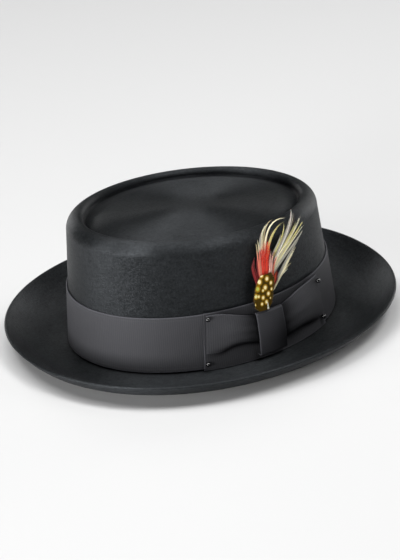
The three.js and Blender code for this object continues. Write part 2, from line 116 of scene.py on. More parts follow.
class HatRibbonSizes(bpy.types.PropertyGroup):
    """Sizes of the band, the bow and its pins"""
    thickness: length("Ribbon", 1, "Thickness of the ribbon")
    gap: length("Gap", 0.3, "Room between two layers")
    band_height: length("Band height", 40.5, "Width of the ribbon round the crown")
    band_lift: length("Band lift", 1.3, "Band's lower edge over the brim")
    bow_angle: angle("Bow angle", 95.1, "Bow's middle, from the front towards the left")
    bow_length: length("Bow length", 108, "Backing along its foot")
    bow_top: length("Bow top length", 102, "Backing along its top")
    bow_height: length("Bow height", 42.2, "Height of the backing")
    bow_lift: length("Bow lift", 0.5, "Backing's lower edge over the brim")
    wing_inset: length("Wing inset", 1.6, "Backing left bare at each end")
    wing_lift: length("Wing lift", 3, "How far a wing stands off the backing")
    pleat: length("Pleat depth", 0.45, "Depth of the pleats beside the keeper")
    wing_tuck: length("Wing tuck", 4, "How far a wing goes in under the keeper")
    keeper_width: length("Keeper width", 21, "Width of the strip round the bow")
    keeper_height: length("Keeper height", 32, "Height of the strip round the bow")
    keeper_offset: length("Keeper offset", -4, "Keeper's middle from the bow's")
    keeper_foot: length("Keeper foot", 4, "Keeper's lower edge over the brim")
    keeper_slot: length("Keeper slot", 1.9, "Room behind the keeper's top for the stems")
    keeper_belly: length("Keeper belly", 0.9, "How much fuller the keeper is at mid height")
    keeper_crown: length("Keeper crown", 0.6, "How much fuller the keeper is along its middle")
    # Reach of the painted shadow under and along a wing's edge.
    shadow: length("Shadow", 1.9, "How far the dark under a wing's edge reaches")
    rib_pitch: length("Rib pitch", 1.5, "From rib to rib, drawn wider than the real 0.8 mm to show")
    rib_depth: length("Rib depth", 0.05, "How far a rib stands out")
    pin_head: length("Pin head", 3.4, "Diameter of a pin's head")
    pin_shank: length("Pin shank", 0.9, "Diameter of a pin's shank")
    front_inset: length("Front pin inset", 2.5, "Front pins from the backing's end")
    back_inset: length("Back pin inset", 4.2, "Back pins from the backing's end")


class HatFeatherSizes(bpy.types.PropertyGroup):
    """Sizes of the three feathers"""
    red_stem: length("Red stem", -4.2, "Red feather's stem from the keeper's middle")
    guinea_stem: length("Guinea stem", -1.6, "Spotted feather's stem from the keeper's middle")
    hackle_stem: length("Hackle stem", 1, "Hackle's stem from the keeper's middle")
    stem_width: length("Stem width", 1.7, "Width of a stem")
    stem_thickness: length("Stem thickness", 1.1, "Thickness of a stem")
    stem_depth: length("Stem depth", 5, "How far the stems reach down behind the keeper")
    layer: length("Layer", 2, "From one feather to the next in front of it")
    red_height: length("Red height", 49, "Red feather over the keeper")
    red_width: length("Red width", 18, "Width of the red feather")
    guinea_height: length("Guinea height", 27, "Spotted feather over the keeper")
    guinea_width: length("Guinea width", 18, "Width of the spotted feather")
    hackle_height: length("Hackle height", 64, "Hackle over the keeper")
    hackle_spread: length("Hackle spread", 43.5, "From the stem to the hackle's furthest tip")
    hackle_root: length("Hackle root", 6, "Where the barbs leave the stem")
    hackle_fan: length("Hackle fan", 1.2, "How far the tips stand out from the root")
    barb: length("Barb width", 0.5, "Width of a barb, drawn coarse enough to show")
    barbs: IntProperty(name="Barbs", description="Barbs in each lock", default=24, min=2, max=80)
    seed: IntProperty(name="Seed", description="Seed of the barbs' scatter", default=7)


class HatColours(bpy.types.PropertyGroup):
    """Colours of the hat"""
    felt: colour("Felt", "#090a0b", "Fur felt")
    felt_nap: colour("Felt nap", "#121415", "Fur felt where the nap is brushed up")
    # Painted shade: the felt's colour deep in the crease and at the crown's break, also used for the
    # bow's painted folds.
    felt_painted_shade: colour("Felt crease", "#020203", "Fur felt deep in the crease")
    felt_tint: colour("Felt sheen", "#f0f7ff", "Light that the fur felt gives back")
    ribbon: colour("Ribbon", "#363638", "Grosgrain ribs")
    # Painted shade between the ribs; the ribs' crests take the ribbon colour.
    ribbon_groove_shade: colour("Ribbon groove", "#2d2d30", "Between the ribs")
    selvedge: colour("Selvedge", "#404044", "Ribbon's woven edges")
    ribbon_tint: colour("Ribbon sheen", "#f6f7ff", "Light that the ribbon gives back")
    pin: colour("Pin", "#08080a", "Pin heads")
    cream: colour("Cream", "#efe5c4", "Pale hackle barbs")
    white: colour("White", "#d9d3ca", "Whitest hackle barbs")
    yellow: colour("Yellow", "#d9cf8a", "Yellowish hackle barbs")
    straw: colour("Straw", "#b8ac86", "Shaded hackle barbs")
    grey: colour("Grey", "#aaa598", "Greyish hackle barbs")
    brown: colour("Brown", "#2e2314", "Hackle's dark barbs")
    pink: colour("Pink", "#e6b3a4", "Barbs faintly dyed")
    salmon: colour("Salmon", "#dd7d66", "Barbs half dyed")
    orange: colour("Orange", "#d8502c", "Orange barbs, low on the right")
    red: colour("Red", "#e33a22", "Red feather")
    dark_red: colour("Dark red", "#821418", "Red feather's shaded side")
    olive: colour("Olive", "#503c00", "Ground of the spotted feather")
    umber: colour("Umber", "#1e1500", "Shaded ground of the spotted feather")
    gold: colour("Gold", "#9c7408", "Rim round each spot")
    spot: colour("Spots", "#f2e4ae", "Spots of the spotted feather")
    spot_green: colour("Green spots", "#a3ad3c", "Greenish spots, low on the left")
    floor: colour("Floor", "#cccccc", "Floor, lit so that it comes out white")


class HatStageSettings(bpy.types.PropertyGroup):
    """Camera and lights"""
    azimuth: angle("Azimuth", 60, "Camera's turn round the hat")
    elevation: angle("Elevation", 25.192, "Camera's height angle")
    roll: angle("Roll", -4.234, "Camera's roll")
    distance: length("Distance", 1535.3, "Camera from its target")
    target_x: length("Target X", -0.144, "Point that the camera looks at")
    target_y: length("Target Y", 0.464, "Point that the camera looks at")
    target_z: length("Target Z", 31.015, "Point that the camera looks at")
    lens: FloatProperty(name="Lens", description="Focal length", default=137.52, unit="CAMERA")
    floor_size: length("Floor", 6000, "Width of the floor")
    lamp_distance: length("Lamp distance", 2000, "Lamps from the hat")
    lamp_aim: length("Lamp aim", 50, "Height that the lamps point at")
    sky: share("Sky", 0.0, "Strength of the white surroundings")


# Meshes

def new_object(name, mesh):
    piece = bpy.data.objects.new(name, mesh)
    bpy.context.scene.collection.objects.link(piece)
    return piece


def store(mesh, name, values):
    """Stores one number or one vector for each point of a mesh."""
    values = np.asarray(values, dtype=float)
    kind = "FLOAT_VECTOR" if values.ndim == 2 else "FLOAT"
    layer = mesh.attributes.new(name, kind, "POINT")
    layer.data.foreach_set("vector" if values.ndim == 2 else "value", values.ravel())


def solid_mesh(name, points, faces, attributes):
    """A smooth closed mesh whose faces point outwards."""
    mesh = bpy.data.meshes.new(name)
    mesh.from_pydata([tuple(p) for p in points], [], [tuple(f) for f in faces])
    for key, values in attributes.items():
        store(mesh, key, values)
    work = bmesh.new()
    work.from_mesh(mesh)
    bmesh.ops.recalc_face_normals(work, faces=work.faces)
    work.to_mesh(mesh)
    work.free()
    mesh.shade_smooth()
    return mesh


def ring_mesh(name, rings, poles, attributes):
    """Joins rings of points, with a pole at each end, or back to the first with no poles."""
    rows, count = rings.shape[:2]
    points = list(rings.reshape(-1, 3))
    faces = []
    links = rows - 1 if poles else rows
    for row in range(links):
        here = row * count
        there = ((row + 1) % rows) * count
        for i in range(count):
            j = (i + 1) % count
            faces.append((here + i, there + i, there + j, here + j))
    values = {key: list(np.asarray(grid).reshape(rows * count, -1))
              for key, grid in attributes.items()}
    if poles:
        end = (rows - 1) * count
        for pole, ring in ((poles[0], 0), (poles[1], end)):
            points.append(pole)
            middle = len(points) - 1
            for i in range(count):
                faces.append((middle, ring + i, ring + (i + 1) % count))
            for key in values:
                values[key].append(np.mean(values[key][ring:ring + count], axis=0))
    return solid_mesh(name, points, faces, {key: np.squeeze(v) for key, v in values.items()})


def even_steps(count):
    return np.linspace(0, 1, count + 1)


def run_from(steps):
    """The distance of each point from the first, from the lengths of the steps between."""
    return np.concatenate([[0], np.cumsum(steps)])


# How far from a sheet's edge its extra points lie.
EDGE_POINTS = np.array([0.2, 0.5, 0.9]) * MM


def close_steps(count, whole):
    """Even shares from 0 to 1, and some close to both ends, so that an edge stays crisp."""
    near = EDGE_POINTS / whole
    return np.sort(np.concatenate([even_steps(count), near, 1 - near]))


def sheet_mesh(name, across, up, place, attributes):
    """A thick sheet. place(u, v, face) gives the points of its back (0) or its front (1)."""
    u, v = np.meshgrid(across, up, indexing="ij")
    columns = len(across) - 1
    rows = len(up) - 1
    sides = [place(u, v, 0), place(u, v, 1)]
    size = (columns + 1) * (rows + 1)
    points = np.concatenate([side.reshape(-1, 3) for side in sides])

    def index(i, j, face):
        return face * size + i * (rows + 1) + j

    faces = []
    for i in range(columns):
        for j in range(rows):
            for face in (0, 1):
                faces.append((index(i, j, face), index(i + 1, j, face),
                              index(i + 1, j + 1, face), index(i, j + 1, face)))
        for j in (0, rows):
            faces.append((index(i, j, 0), index(i + 1, j, 0), index(i + 1, j, 1), index(i, j, 1)))
    for j in range(rows):
        for i in (0, columns):
            faces.append((index(i, j, 0), index(i, j + 1, 0), index(i, j + 1, 1), index(i, j, 1)))
    values = {}
    for key, function in attributes.items():
        both = [np.asarray(function(u, v, face), dtype=float) + 0 * u for face in (0, 1)]
        values[key] = np.concatenate([b.reshape(-1) for b in both])
    return solid_mesh(name, points, faces, values)


def baked(piece):
    """Turns a piece with a node tree into a plain mesh."""
    graph = bpy.context.evaluated_depsgraph_get()
    mesh = bpy.data.meshes.new_from_object(piece.evaluated_get(graph))
    piece.modifiers.clear()
    piece.data = mesh
    return piece


def finish_piece(piece, nodes):
    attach(piece, BODY)
    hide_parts(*nodes)


# Node trees

def add_node(tree, kind, settings=None, inputs=None):
    """Adds a node. An input is given a value, another node's output, or a whole node, which
    stands for the first of its outputs that is in use."""
    node = tree.nodes.new(kind)
    for name, value in (settings or {}).items():
        setattr(node, name, value)
    for name, value in (inputs or {}).items():
        if isinstance(value, bpy.types.Node):
            value = next(output for output in value.outputs if output.enabled)
        if isinstance(value, bpy.types.NodeSocket):
            tree.links.new(value, node.inputs[name])
        else:
            node.inputs[name].default_value = value
    return node


def new_material(name):
    """An empty material and its node tree."""
    material = bpy.data.materials.new(name)
    material.use_nodes = True
    material.node_tree.nodes.clear()
    return material, material.node_tree


def end_material(tree, inputs):
    """Ends a material with a shader that has the given inputs."""
    shader = add_node(tree, "ShaderNodeBsdfPrincipled", inputs=inputs)
    add_node(tree, "ShaderNodeOutputMaterial", inputs={"Surface": shader})


def rgba(value):
    return (*value, 1)


# Widths of the patterns. Fur fibres are about 0.02 mm thick, the threads of grosgrain 0.1 mm
# and the barbs of a vane 0.15 mm, so all are drawn as coarse as they need to be to show.
NAP_STROKE = 2.4 * MM
FELT_FIBRE = 1.5 * MM
FELT_BLOTCH = 14 * MM
THREAD_LENGTH = 1.5 * MM
THREAD_WIDTH = 0.35 * MM
RIBBON_BLOTCH = 9 * MM
BEAD_DUST = 0.8 * MM
VANE_STRAND = 0.45 * MM
FLOOR_GRAIN = 40 * MM

# Strokes of the nap to a radian round the crown.
NAP_TURNS = 14


def fur_felt(colours):
    """Fur felt: short matted fibres brushed round the crown, with a soft sheen on black."""
    material, tree = new_material("black_fur_felt")
    place = add_node(tree, "ShaderNodeTexCoord").outputs["Object"]
    nap, away, crease, combed = (
        add_node(tree, "ShaderNodeAttribute", {"attribute_name": name}).outputs[kind]
        for name, kind in (("nap", "Vector"), ("away", "Vector"), ("crease", "Fac"),
                           ("combed", "Fac")))
    brushed = add_node(tree, "ShaderNodeVectorMath", {"operation": "MULTIPLY"},
                       {0: nap, 1: (NAP_TURNS, NAP_TURNS, 1 / NAP_STROKE)})
    strokes = add_node(tree, "ShaderNodeTexNoise", inputs={
        "Vector": brushed, "Scale": 1, "Detail": 4, "Roughness": 0.65})
    blotches, fibres = (
        add_node(tree, "ShaderNodeTexNoise", inputs={
            "Vector": place, "Scale": 1 / width, "Detail": 3, "Roughness": roughness})
        for width, roughness in ((FELT_BLOTCH, 0.6), (FELT_FIBRE, 0.75)))
    # Single fibres stray a little from the way that the nap is brushed.
    stray = add_node(tree, "ShaderNodeVectorMath", {"operation": "MULTIPLY_ADD"}, {
        0: fibres.outputs["Color"], 1: (0.4, 0.4, 0), 2: (-0.2, -0.2, 0)})
    brush = add_node(tree, "ShaderNodeVectorMath", {"operation": "ADD"}, {0: away, 1: stray})
    coarse = add_node(tree, "ShaderNodeMath", {"operation": "MULTIPLY_ADD"},
                      {0: blotches, 1: 0.25, 2: fibres})
    grain = add_node(tree, "ShaderNodeMath", {"operation": "MULTIPLY_ADD"},
                     {0: strokes, 1: 0.55, 2: coarse})
    amount = add_node(tree, "ShaderNodeMapRange", inputs={
        "Value": grain, "From Min": 0.6, "From Max": 1.2})
    pile = add_node(tree, "ShaderNodeMix", {"data_type": "RGBA"}, {
        0: amount, "A": rgba(colours.felt), "B": rgba(colours.felt_nap)})
    # Painted shade: the colour darkens towards the painted shade colour deep in the crease and at the
    # crown's break.
    shade = add_node(tree, "ShaderNodeMix", {"data_type": "RGBA"}, {
        0: crease, "A": pile, "B": rgba(colours.felt_painted_shade)})
    gloss = add_node(tree, "ShaderNodeMapRange", inputs={
        "Value": amount, "To Min": 0.2, "To Max": 0.5})
    # Painted shade: less gloss deep in the crease and at the crown's break too.
    painted_crease_dim = add_node(tree, "ShaderNodeMapRange", inputs={
        "Value": crease, "To Min": 1, "To Max": 0.3})
    sheen = add_node(tree, "ShaderNodeMath", {"operation": "MULTIPLY"}, {0: gloss, 1: painted_crease_dim})
    relief = add_node(tree, "ShaderNodeMath", {"operation": "MULTIPLY_ADD"},
                      {0: strokes, 1: 0.4, 2: fibres})
    bump = add_node(tree, "ShaderNodeBump", inputs={
        "Strength": 0.5, "Distance": 0.3 * MM, "Height": relief})
    end_material(tree, {
        "Base Color": shade, "Specular IOR Level": sheen, "Normal": bump, "Tangent": brush,
        "Anisotropic": combed, "Roughness": 0.5, "Specular Tint": rgba(colours.felt_tint)})
    return material


def grosgrain(colours):
    """Grosgrain: rayon ribs over a thick weft, with a faint satin light on the ribs that is partly
    painted, as painted shade in the grooves between them. The bow's folds get painted shade and
    the backing's turned ends a painted highlight.
    """
    material, tree = new_material("black_rayon_grosgrain")
    weave, rib, edge, fold = (
        add_node(tree, "ShaderNodeAttribute", {"attribute_name": name}).outputs[kind]
        for name, kind in (("weave", "Vector"), ("rib", "Fac"), ("edge", "Fac"), ("fold", "Fac")))
    threads = add_node(tree, "ShaderNodeVectorMath", {"operation": "MULTIPLY"},
                       {0: weave, 1: (1 / THREAD_LENGTH, 1 / THREAD_WIDTH, 1)})
    twist = add_node(tree, "ShaderNodeTexNoise", inputs={
        "Vector": threads, "Scale": 1, "Detail": 2, "Roughness": 0.6})
    uneven = add_node(tree, "ShaderNodeTexNoise", inputs={
        "Vector": weave, "Scale": 1 / RIBBON_BLOTCH, "Detail": 2})
    # Painted shade: the ribs' crests take the ribbon colour and the grooves the darker groove colour;
    # random blotches vary it.
    lit = add_node(tree, "ShaderNodeMath", {"operation": "MULTIPLY_ADD"},
                   {0: uneven, 1: 0.5, 2: rib})
    amount = add_node(tree, "ShaderNodeMapRange", inputs={
        "Value": lit, "From Min": 0.1, "From Max": 1.1})
    woven = add_node(tree, "ShaderNodeMix", {"data_type": "RGBA"}, {
        0: amount, "A": rgba(colours.ribbon_groove_shade), "B": rgba(colours.ribbon)})
    # Pale woven edges, and a painted highlight on the backing's turned ends.
    edged = add_node(tree, "ShaderNodeMix", {"data_type": "RGBA"}, {
        0: edge, "A": woven, "B": rgba(colours.selvedge)})
    # Painted shade: the bow's folds darken towards the painted shade colour and lose their gloss.
    shade = add_node(tree, "ShaderNodeMix", {"data_type": "RGBA"}, {
        0: fold, "A": edged, "B": rgba(colours.felt_painted_shade)})
    gloss = add_node(tree, "ShaderNodeMapRange", inputs={
        "Value": fold, "To Min": 0.34, "To Max": 0.04})
    bump = add_node(tree, "ShaderNodeBump", inputs={
        "Strength": 0.3, "Distance": 0.12 * MM, "Height": twist})
    end_material(tree, {
        "Base Color": shade, "Specular IOR Level": gloss, "Normal": bump, "Roughness": 0.6,
        "Specular Tint": rgba(colours.ribbon_tint)})
    return material


def lacquered_bead(colours):
    """Pin heads: black lacquered glass beads, glossy enough to mirror the lamps."""
    material, tree = new_material("black_lacquered_bead")
    place = add_node(tree, "ShaderNodeTexCoord").outputs["Object"]
    dust = add_node(tree, "ShaderNodeTexNoise", inputs={
        "Vector": place, "Scale": 1 / BEAD_DUST, "Detail": 2})
    polish = add_node(tree, "ShaderNodeMapRange", inputs={
        "Value": dust, "To Min": 0.06, "To Max": 0.16})
    end_material(tree, {
        "Base Color": rgba(colours.pin), "Roughness": polish, "Coat Weight": 0.6})
    return material


def barb_keratin(name):
    """Feather barbs: soft dyed keratin strands that scatter light, each a little different."""
    material, tree = new_material(name)
    dye, along, chance = (
        add_node(tree, "ShaderNodeAttribute", {"attribute_name": key}).outputs[kind]
        for key, kind in (("dye", "Color"), ("along", "Fac"), ("chance", "Fac")))
    picked = add_node(tree, "ShaderNodeMapRange", inputs={
        "Value": chance, "To Min": 0.6, "To Max": 1.3})
    # Painted shade: barbs darken towards their roots, where they crowd the stem.
    painted_root_shade = add_node(tree, "ShaderNodeMapRange", inputs={
        "Value": along, "From Max": 0.4, "To Min": 0.35})
    amount = add_node(tree, "ShaderNodeMath", {"operation": "MULTIPLY"}, {0: picked, 1: painted_root_shade})
    shade = add_node(tree, "ShaderNodeVectorMath", {"operation": "SCALE"},
                     {0: dye, "Scale": amount})
    end_material(tree, {
        "Base Color": shade, "Roughness": 0.5, "Specular IOR Level": 0.4, "Sheen Weight": 0.1,
        "Subsurface Weight": 0.1, "Subsurface Scale": 0.6 * MM})
    return material


def spotted_vane(colours):
    """Guinea fowl vane: a brown ground with pale round spots, fine barbs across it."""
    material, tree = new_material("guinea_fowl_vane")
    spot, streak, green = (
        add_node(tree, "ShaderNodeAttribute", {"attribute_name": name}).outputs["Fac"]
        for name in ("spot", "streak", "green"))
    strands = add_node(tree, "ShaderNodeTexNoise", {"noise_dimensions": "1D"}, {
        "W": streak, "Scale": 1 / VANE_STRAND, "Detail": 2})
    pale = add_node(tree, "ShaderNodeMix", {"data_type": "RGBA"}, {
        0: green, "A": rgba(colours.spot), "B": rgba(colours.spot_green)})
    ground = add_node(tree, "ShaderNodeMix", {"data_type": "RGBA"}, {
        0: strands, "A": rgba(colours.umber), "B": rgba(colours.olive)})
    ragged = add_node(tree, "ShaderNodeMath", {"operation": "MULTIPLY_ADD"},
                      {0: strands, 1: 0.12, 2: spot})
    rim, edge = (
        add_node(tree, "ShaderNodeMapRange", {"interpolation_type": "SMOOTHSTEP"}, {
            "Value": ragged, "From Min": low, "From Max": high})
        for low, high in ((0.2, 0.56), (0.54, 0.8)))
    warm = add_node(tree, "ShaderNodeMix", {"data_type": "RGBA"}, {
        0: rim, "A": ground, "B": rgba(colours.gold)})
    shade = add_node(tree, "ShaderNodeMix", {"data_type": "RGBA"}, {
        0: edge, "A": warm, "B": pale})
    bump = add_node(tree, "ShaderNodeBump", inputs={
        "Strength": 0.4, "Distance": 0.2 * MM, "Height": strands})
    end_material(tree, {
        "Base Color": shade, "Normal": bump, "Roughness": 0.55, "Specular IOR Level": 0.1})
    return material


def painted_floor(colours):
    """Studio floor: matt white paint."""
    material, tree = new_material("matt_white_paint")
    place = add_node(tree, "ShaderNodeTexCoord").outputs["Object"]
    grain = add_node(tree, "ShaderNodeTexNoise", inputs={
        "Vector": place, "Scale": 1 / FLOOR_GRAIN, "Detail": 3})
    matt = add_node(tree, "ShaderNodeMapRange", inputs={
        "Value": grain, "To Min": 0.85, "To Max": 0.95})
    end_material(tree, {
        "Base Color": rgba(colours.floor), "Roughness": matt, "Specular IOR Level": 0.1})
    return material


def geometry_tree(name, sizes):
    """An empty geometry node tree with named inputs for its sizes."""
    tree = bpy.data.node_groups.new(name, "GeometryNodeTree")
    sockets = {"Geometry": "Geometry", **sizes, "Material": "Material"}
    for key, kind in sockets.items():
        tree.interface.new_socket(key, in_out="INPUT", socket_type=f"NodeSocket{kind}")
    tree.interface.new_socket("Geometry", in_out="OUTPUT", socket_type="NodeSocketGeometry")
    return tree, add_node(tree, "NodeGroupInput").outputs


def end_tree(tree, geometry, material):
    real = add_node(tree, "GeometryNodeRealizeInstances", inputs={0: geometry})
    dressed = add_node(tree, "GeometryNodeSetMaterial", inputs={
        "Geometry": real, "Material": material})
    add_node(tree, "NodeGroupOutput", inputs={0: dressed})


def run_tree(piece, tree, values):
    """Runs a node tree on a piece with the named input values, and keeps its plain mesh."""
    modifier = piece.modifiers.new(tree.name, "NODES")
    modifier.node_group = tree
    for item in tree.interface.items_tree:
        if item.item_type == "SOCKET" and item.in_out == "INPUT" and item.name in values:
            modifier[item.identifier] = values[item.name]
    return baked(piece)


def rib_tree():
    """Raises the ribs of grosgrain on the front of a ribbon, and marks them for its colour."""
    tree, given = geometry_tree("grosgrain_ribs", {"Rib Pitch": "Float", "Rib Depth": "Float"})
    weave, front = (
        add_node(tree, "GeometryNodeInputNamedAttribute", {"data_type": kind}, {"Name": name})
        for name, kind in (("weave", "FLOAT_VECTOR"), ("front", "FLOAT")))
    parts = add_node(tree, "ShaderNodeSeparateXYZ", inputs={0: weave})
    turns = add_node(tree, "ShaderNodeMath", {"operation": "DIVIDE"},
                     {0: parts, 1: given["Rib Pitch"]})
    radians = add_node(tree, "ShaderNodeMath", {"operation": "MULTIPLY"},
                       {0: turns, 1: 2 * math.pi})
    wave = add_node(tree, "ShaderNodeMath", {"operation": "COSINE"}, {0: radians})
    crest = add_node(tree, "ShaderNodeMath", {"operation": "MULTIPLY_ADD"},
                     {0: wave, 1: 0.5, 2: 0.5})
    raised = add_node(tree, "ShaderNodeMath", {"operation": "MULTIPLY"}, {0: crest, 1: front})
    height = add_node(tree, "ShaderNodeMath", {"operation": "MULTIPLY"},
                      {0: raised, 1: given["Rib Depth"]})
    normal = add_node(tree, "GeometryNodeInputNormal")
    offset = add_node(tree, "ShaderNodeVectorMath", {"operation": "SCALE"},
                      {0: normal, "Scale": height})
    marked = add_node(tree, "GeometryNodeStoreNamedAttribute", {"data_type": "FLOAT"}, {
        "Geometry": given["Geometry"], "Name": "rib", "Value": raised})
    moved = add_node(tree, "GeometryNodeSetPosition", inputs={
        "Geometry": marked, "Offset": offset})
    end_tree(tree, moved, given["Material"])
    return tree


def pin_tree():
    """Puts a round head and its shank on each point, along the point's way out."""
    tree, given = geometry_tree("bow_pins", {
        "Head": "Float", "Shank": "Float", "Depth": "Float"})
    radius, thin, down = (
        add_node(tree, "ShaderNodeMath", {"operation": "DIVIDE"}, {0: given[name], 1: divisor})
        for name, divisor in (("Head", 2), ("Shank", 2), ("Depth", -2)))
    head = add_node(tree, "GeometryNodeMeshUVSphere", inputs={
        "Segments": 28, "Rings": 18, "Radius": radius})
    shank = add_node(tree, "GeometryNodeMeshCylinder", inputs={
        "Vertices": 14, "Radius": thin, "Depth": given["Depth"]})
    pin = add_node(tree, "GeometryNodeJoinGeometry")
    for part, rise in ((head, radius), (shank, down)):
        shift = add_node(tree, "ShaderNodeCombineXYZ", inputs={"Z": rise})
        placed = add_node(tree, "GeometryNodeTransform", inputs={
            "Geometry": part, "Translation": shift})
        tree.links.new(placed.outputs[0], pin.inputs[0])
    smooth = add_node(tree, "GeometryNodeSetShadeSmooth", inputs={0: pin})
    way = add_node(tree, "GeometryNodeInputNamedAttribute", {"data_type": "FLOAT_VECTOR"},
                   {"Name": "outwards"})
    turned = add_node(tree, "FunctionNodeAlignRotationToVector", {"axis": "Z"},
                      {"Vector": way})
    pins = add_node(tree, "GeometryNodeInstanceOnPoints", inputs={
        "Points": given["Geometry"], "Instance": smooth, "Rotation": turned})
    end_tree(tree, pins, given["Material"])
    return tree


def barb_tree():
    """Grows barbs along guide lines: each guide is copied, spread sideways, cut to an uneven
    length and given a tapered body."""
    tree, given = geometry_tree("feather_barbs", {
        "Barbs": "Int", "Barb Width": "Float", "Lift": "Float", "Shortest": "Float",
        "Seed": "Int"})
    guides = add_node(tree, "GeometryNodeMeshToCurve", inputs={0: given["Geometry"]})
    copies = add_node(tree, "GeometryNodeDuplicateElements", {"domain": "SPLINE"}, {
        "Geometry": guides, "Amount": given["Barbs"]})
    number = add_node(tree, "GeometryNodeInputIndex")
    chances = []
    for step, low in enumerate((-1, -1, 0, 0)):
        seed = add_node(tree, "ShaderNodeMath", {"operation": "ADD"},
                        {0: given["Seed"], 1: step * 11})
        chance = add_node(tree, "FunctionNodeRandomValue", {"data_type": "FLOAT"}, {
            "ID": number, "Seed": seed, 2: low, 3: 1})
        chances.append(add_node(tree, "GeometryNodeFieldOnDomain",
                                {"domain": "CURVE", "data_type": "FLOAT"}, {0: chance}))
    sideways, lifted, cut_off, shade = chances
    across, outwards = (
        add_node(tree, "GeometryNodeInputNamedAttribute", {"data_type": "FLOAT_VECTOR"},
                 {"Name": name}) for name in ("across", "outwards"))
    beside = add_node(tree, "ShaderNodeVectorMath", {"operation": "SCALE"},
                      {0: across, "Scale": sideways})
    rise = add_node(tree, "ShaderNodeMath", {"operation": "MULTIPLY"},
                    {0: lifted, 1: given["Lift"]})
    upwards = add_node(tree, "ShaderNodeVectorMath", {"operation": "SCALE"},
                       {0: outwards, "Scale": rise})
    offset = add_node(tree, "ShaderNodeVectorMath", {"operation": "ADD"},
                      {0: beside, 1: upwards})
    spread = add_node(tree, "GeometryNodeSetPosition", inputs={
        "Geometry": copies, "Offset": offset})
    chosen = add_node(tree, "GeometryNodeStoreNamedAttribute", {"data_type": "FLOAT"}, {
        "Geometry": spread, "Name": "chance", "Value": shade})
    reach = add_node(tree, "ShaderNodeMapRange", inputs={
        "Value": cut_off, "To Min": given["Shortest"], "To Max": 1})
    cut = add_node(tree, "GeometryNodeTrimCurve", {"mode": "FACTOR"},
                   {"Curve": chosen, 3: reach})
    place = add_node(tree, "GeometryNodeSplineParameter")
    taper = add_node(tree, "ShaderNodeMath", {"operation": "POWER"}, {0: place, 1: 2.5})
    left = add_node(tree, "ShaderNodeMath", {"operation": "MULTIPLY_ADD"},
                    {0: taper, 1: -0.85, 2: 1})
    wide = add_node(tree, "ShaderNodeMath", {"operation": "MULTIPLY"},
                    {0: left, 1: given["Barb Width"]})
    radius = add_node(tree, "ShaderNodeMath", {"operation": "DIVIDE"}, {0: wide, 1: 2})
    sized = add_node(tree, "GeometryNodeSetCurveRadius", inputs={
        "Curve": cut, "Radius": radius})
    section = add_node(tree, "GeometryNodeCurvePrimitiveCircle", inputs={
        "Resolution": 4, "Radius": 1})
    width = add_node(tree, "GeometryNodeInputRadius")
    strands = add_node(tree, "GeometryNodeCurveToMesh", inputs={
        "Curve": sized, "Profile Curve": section, "Scale": width, "Fill Caps": True})
    smooth = add_node(tree, "GeometryNodeSetShadeSmooth", inputs={0: strands})
    end_tree(tree, smooth, given["Material"])
    return tree


# The felt's shape

def mix(low, high, amount):
    return low + (high - low) * amount


def oval(turn, half_length, half_width, roundness, centre_y, z):
    """Points of an oval. The turn is 0 at the front and grows towards the wearer's left."""
    sine = np.sin(turn)
    cosine = np.cos(turn)
    power = 2 / roundness
    x = half_width * np.sign(sine) * np.abs(sine) ** power
    y = centre_y - half_length * np.sign(cosine) * np.abs(cosine) ** power
    return np.stack(np.broadcast_arrays(x, y, z), axis=-1)


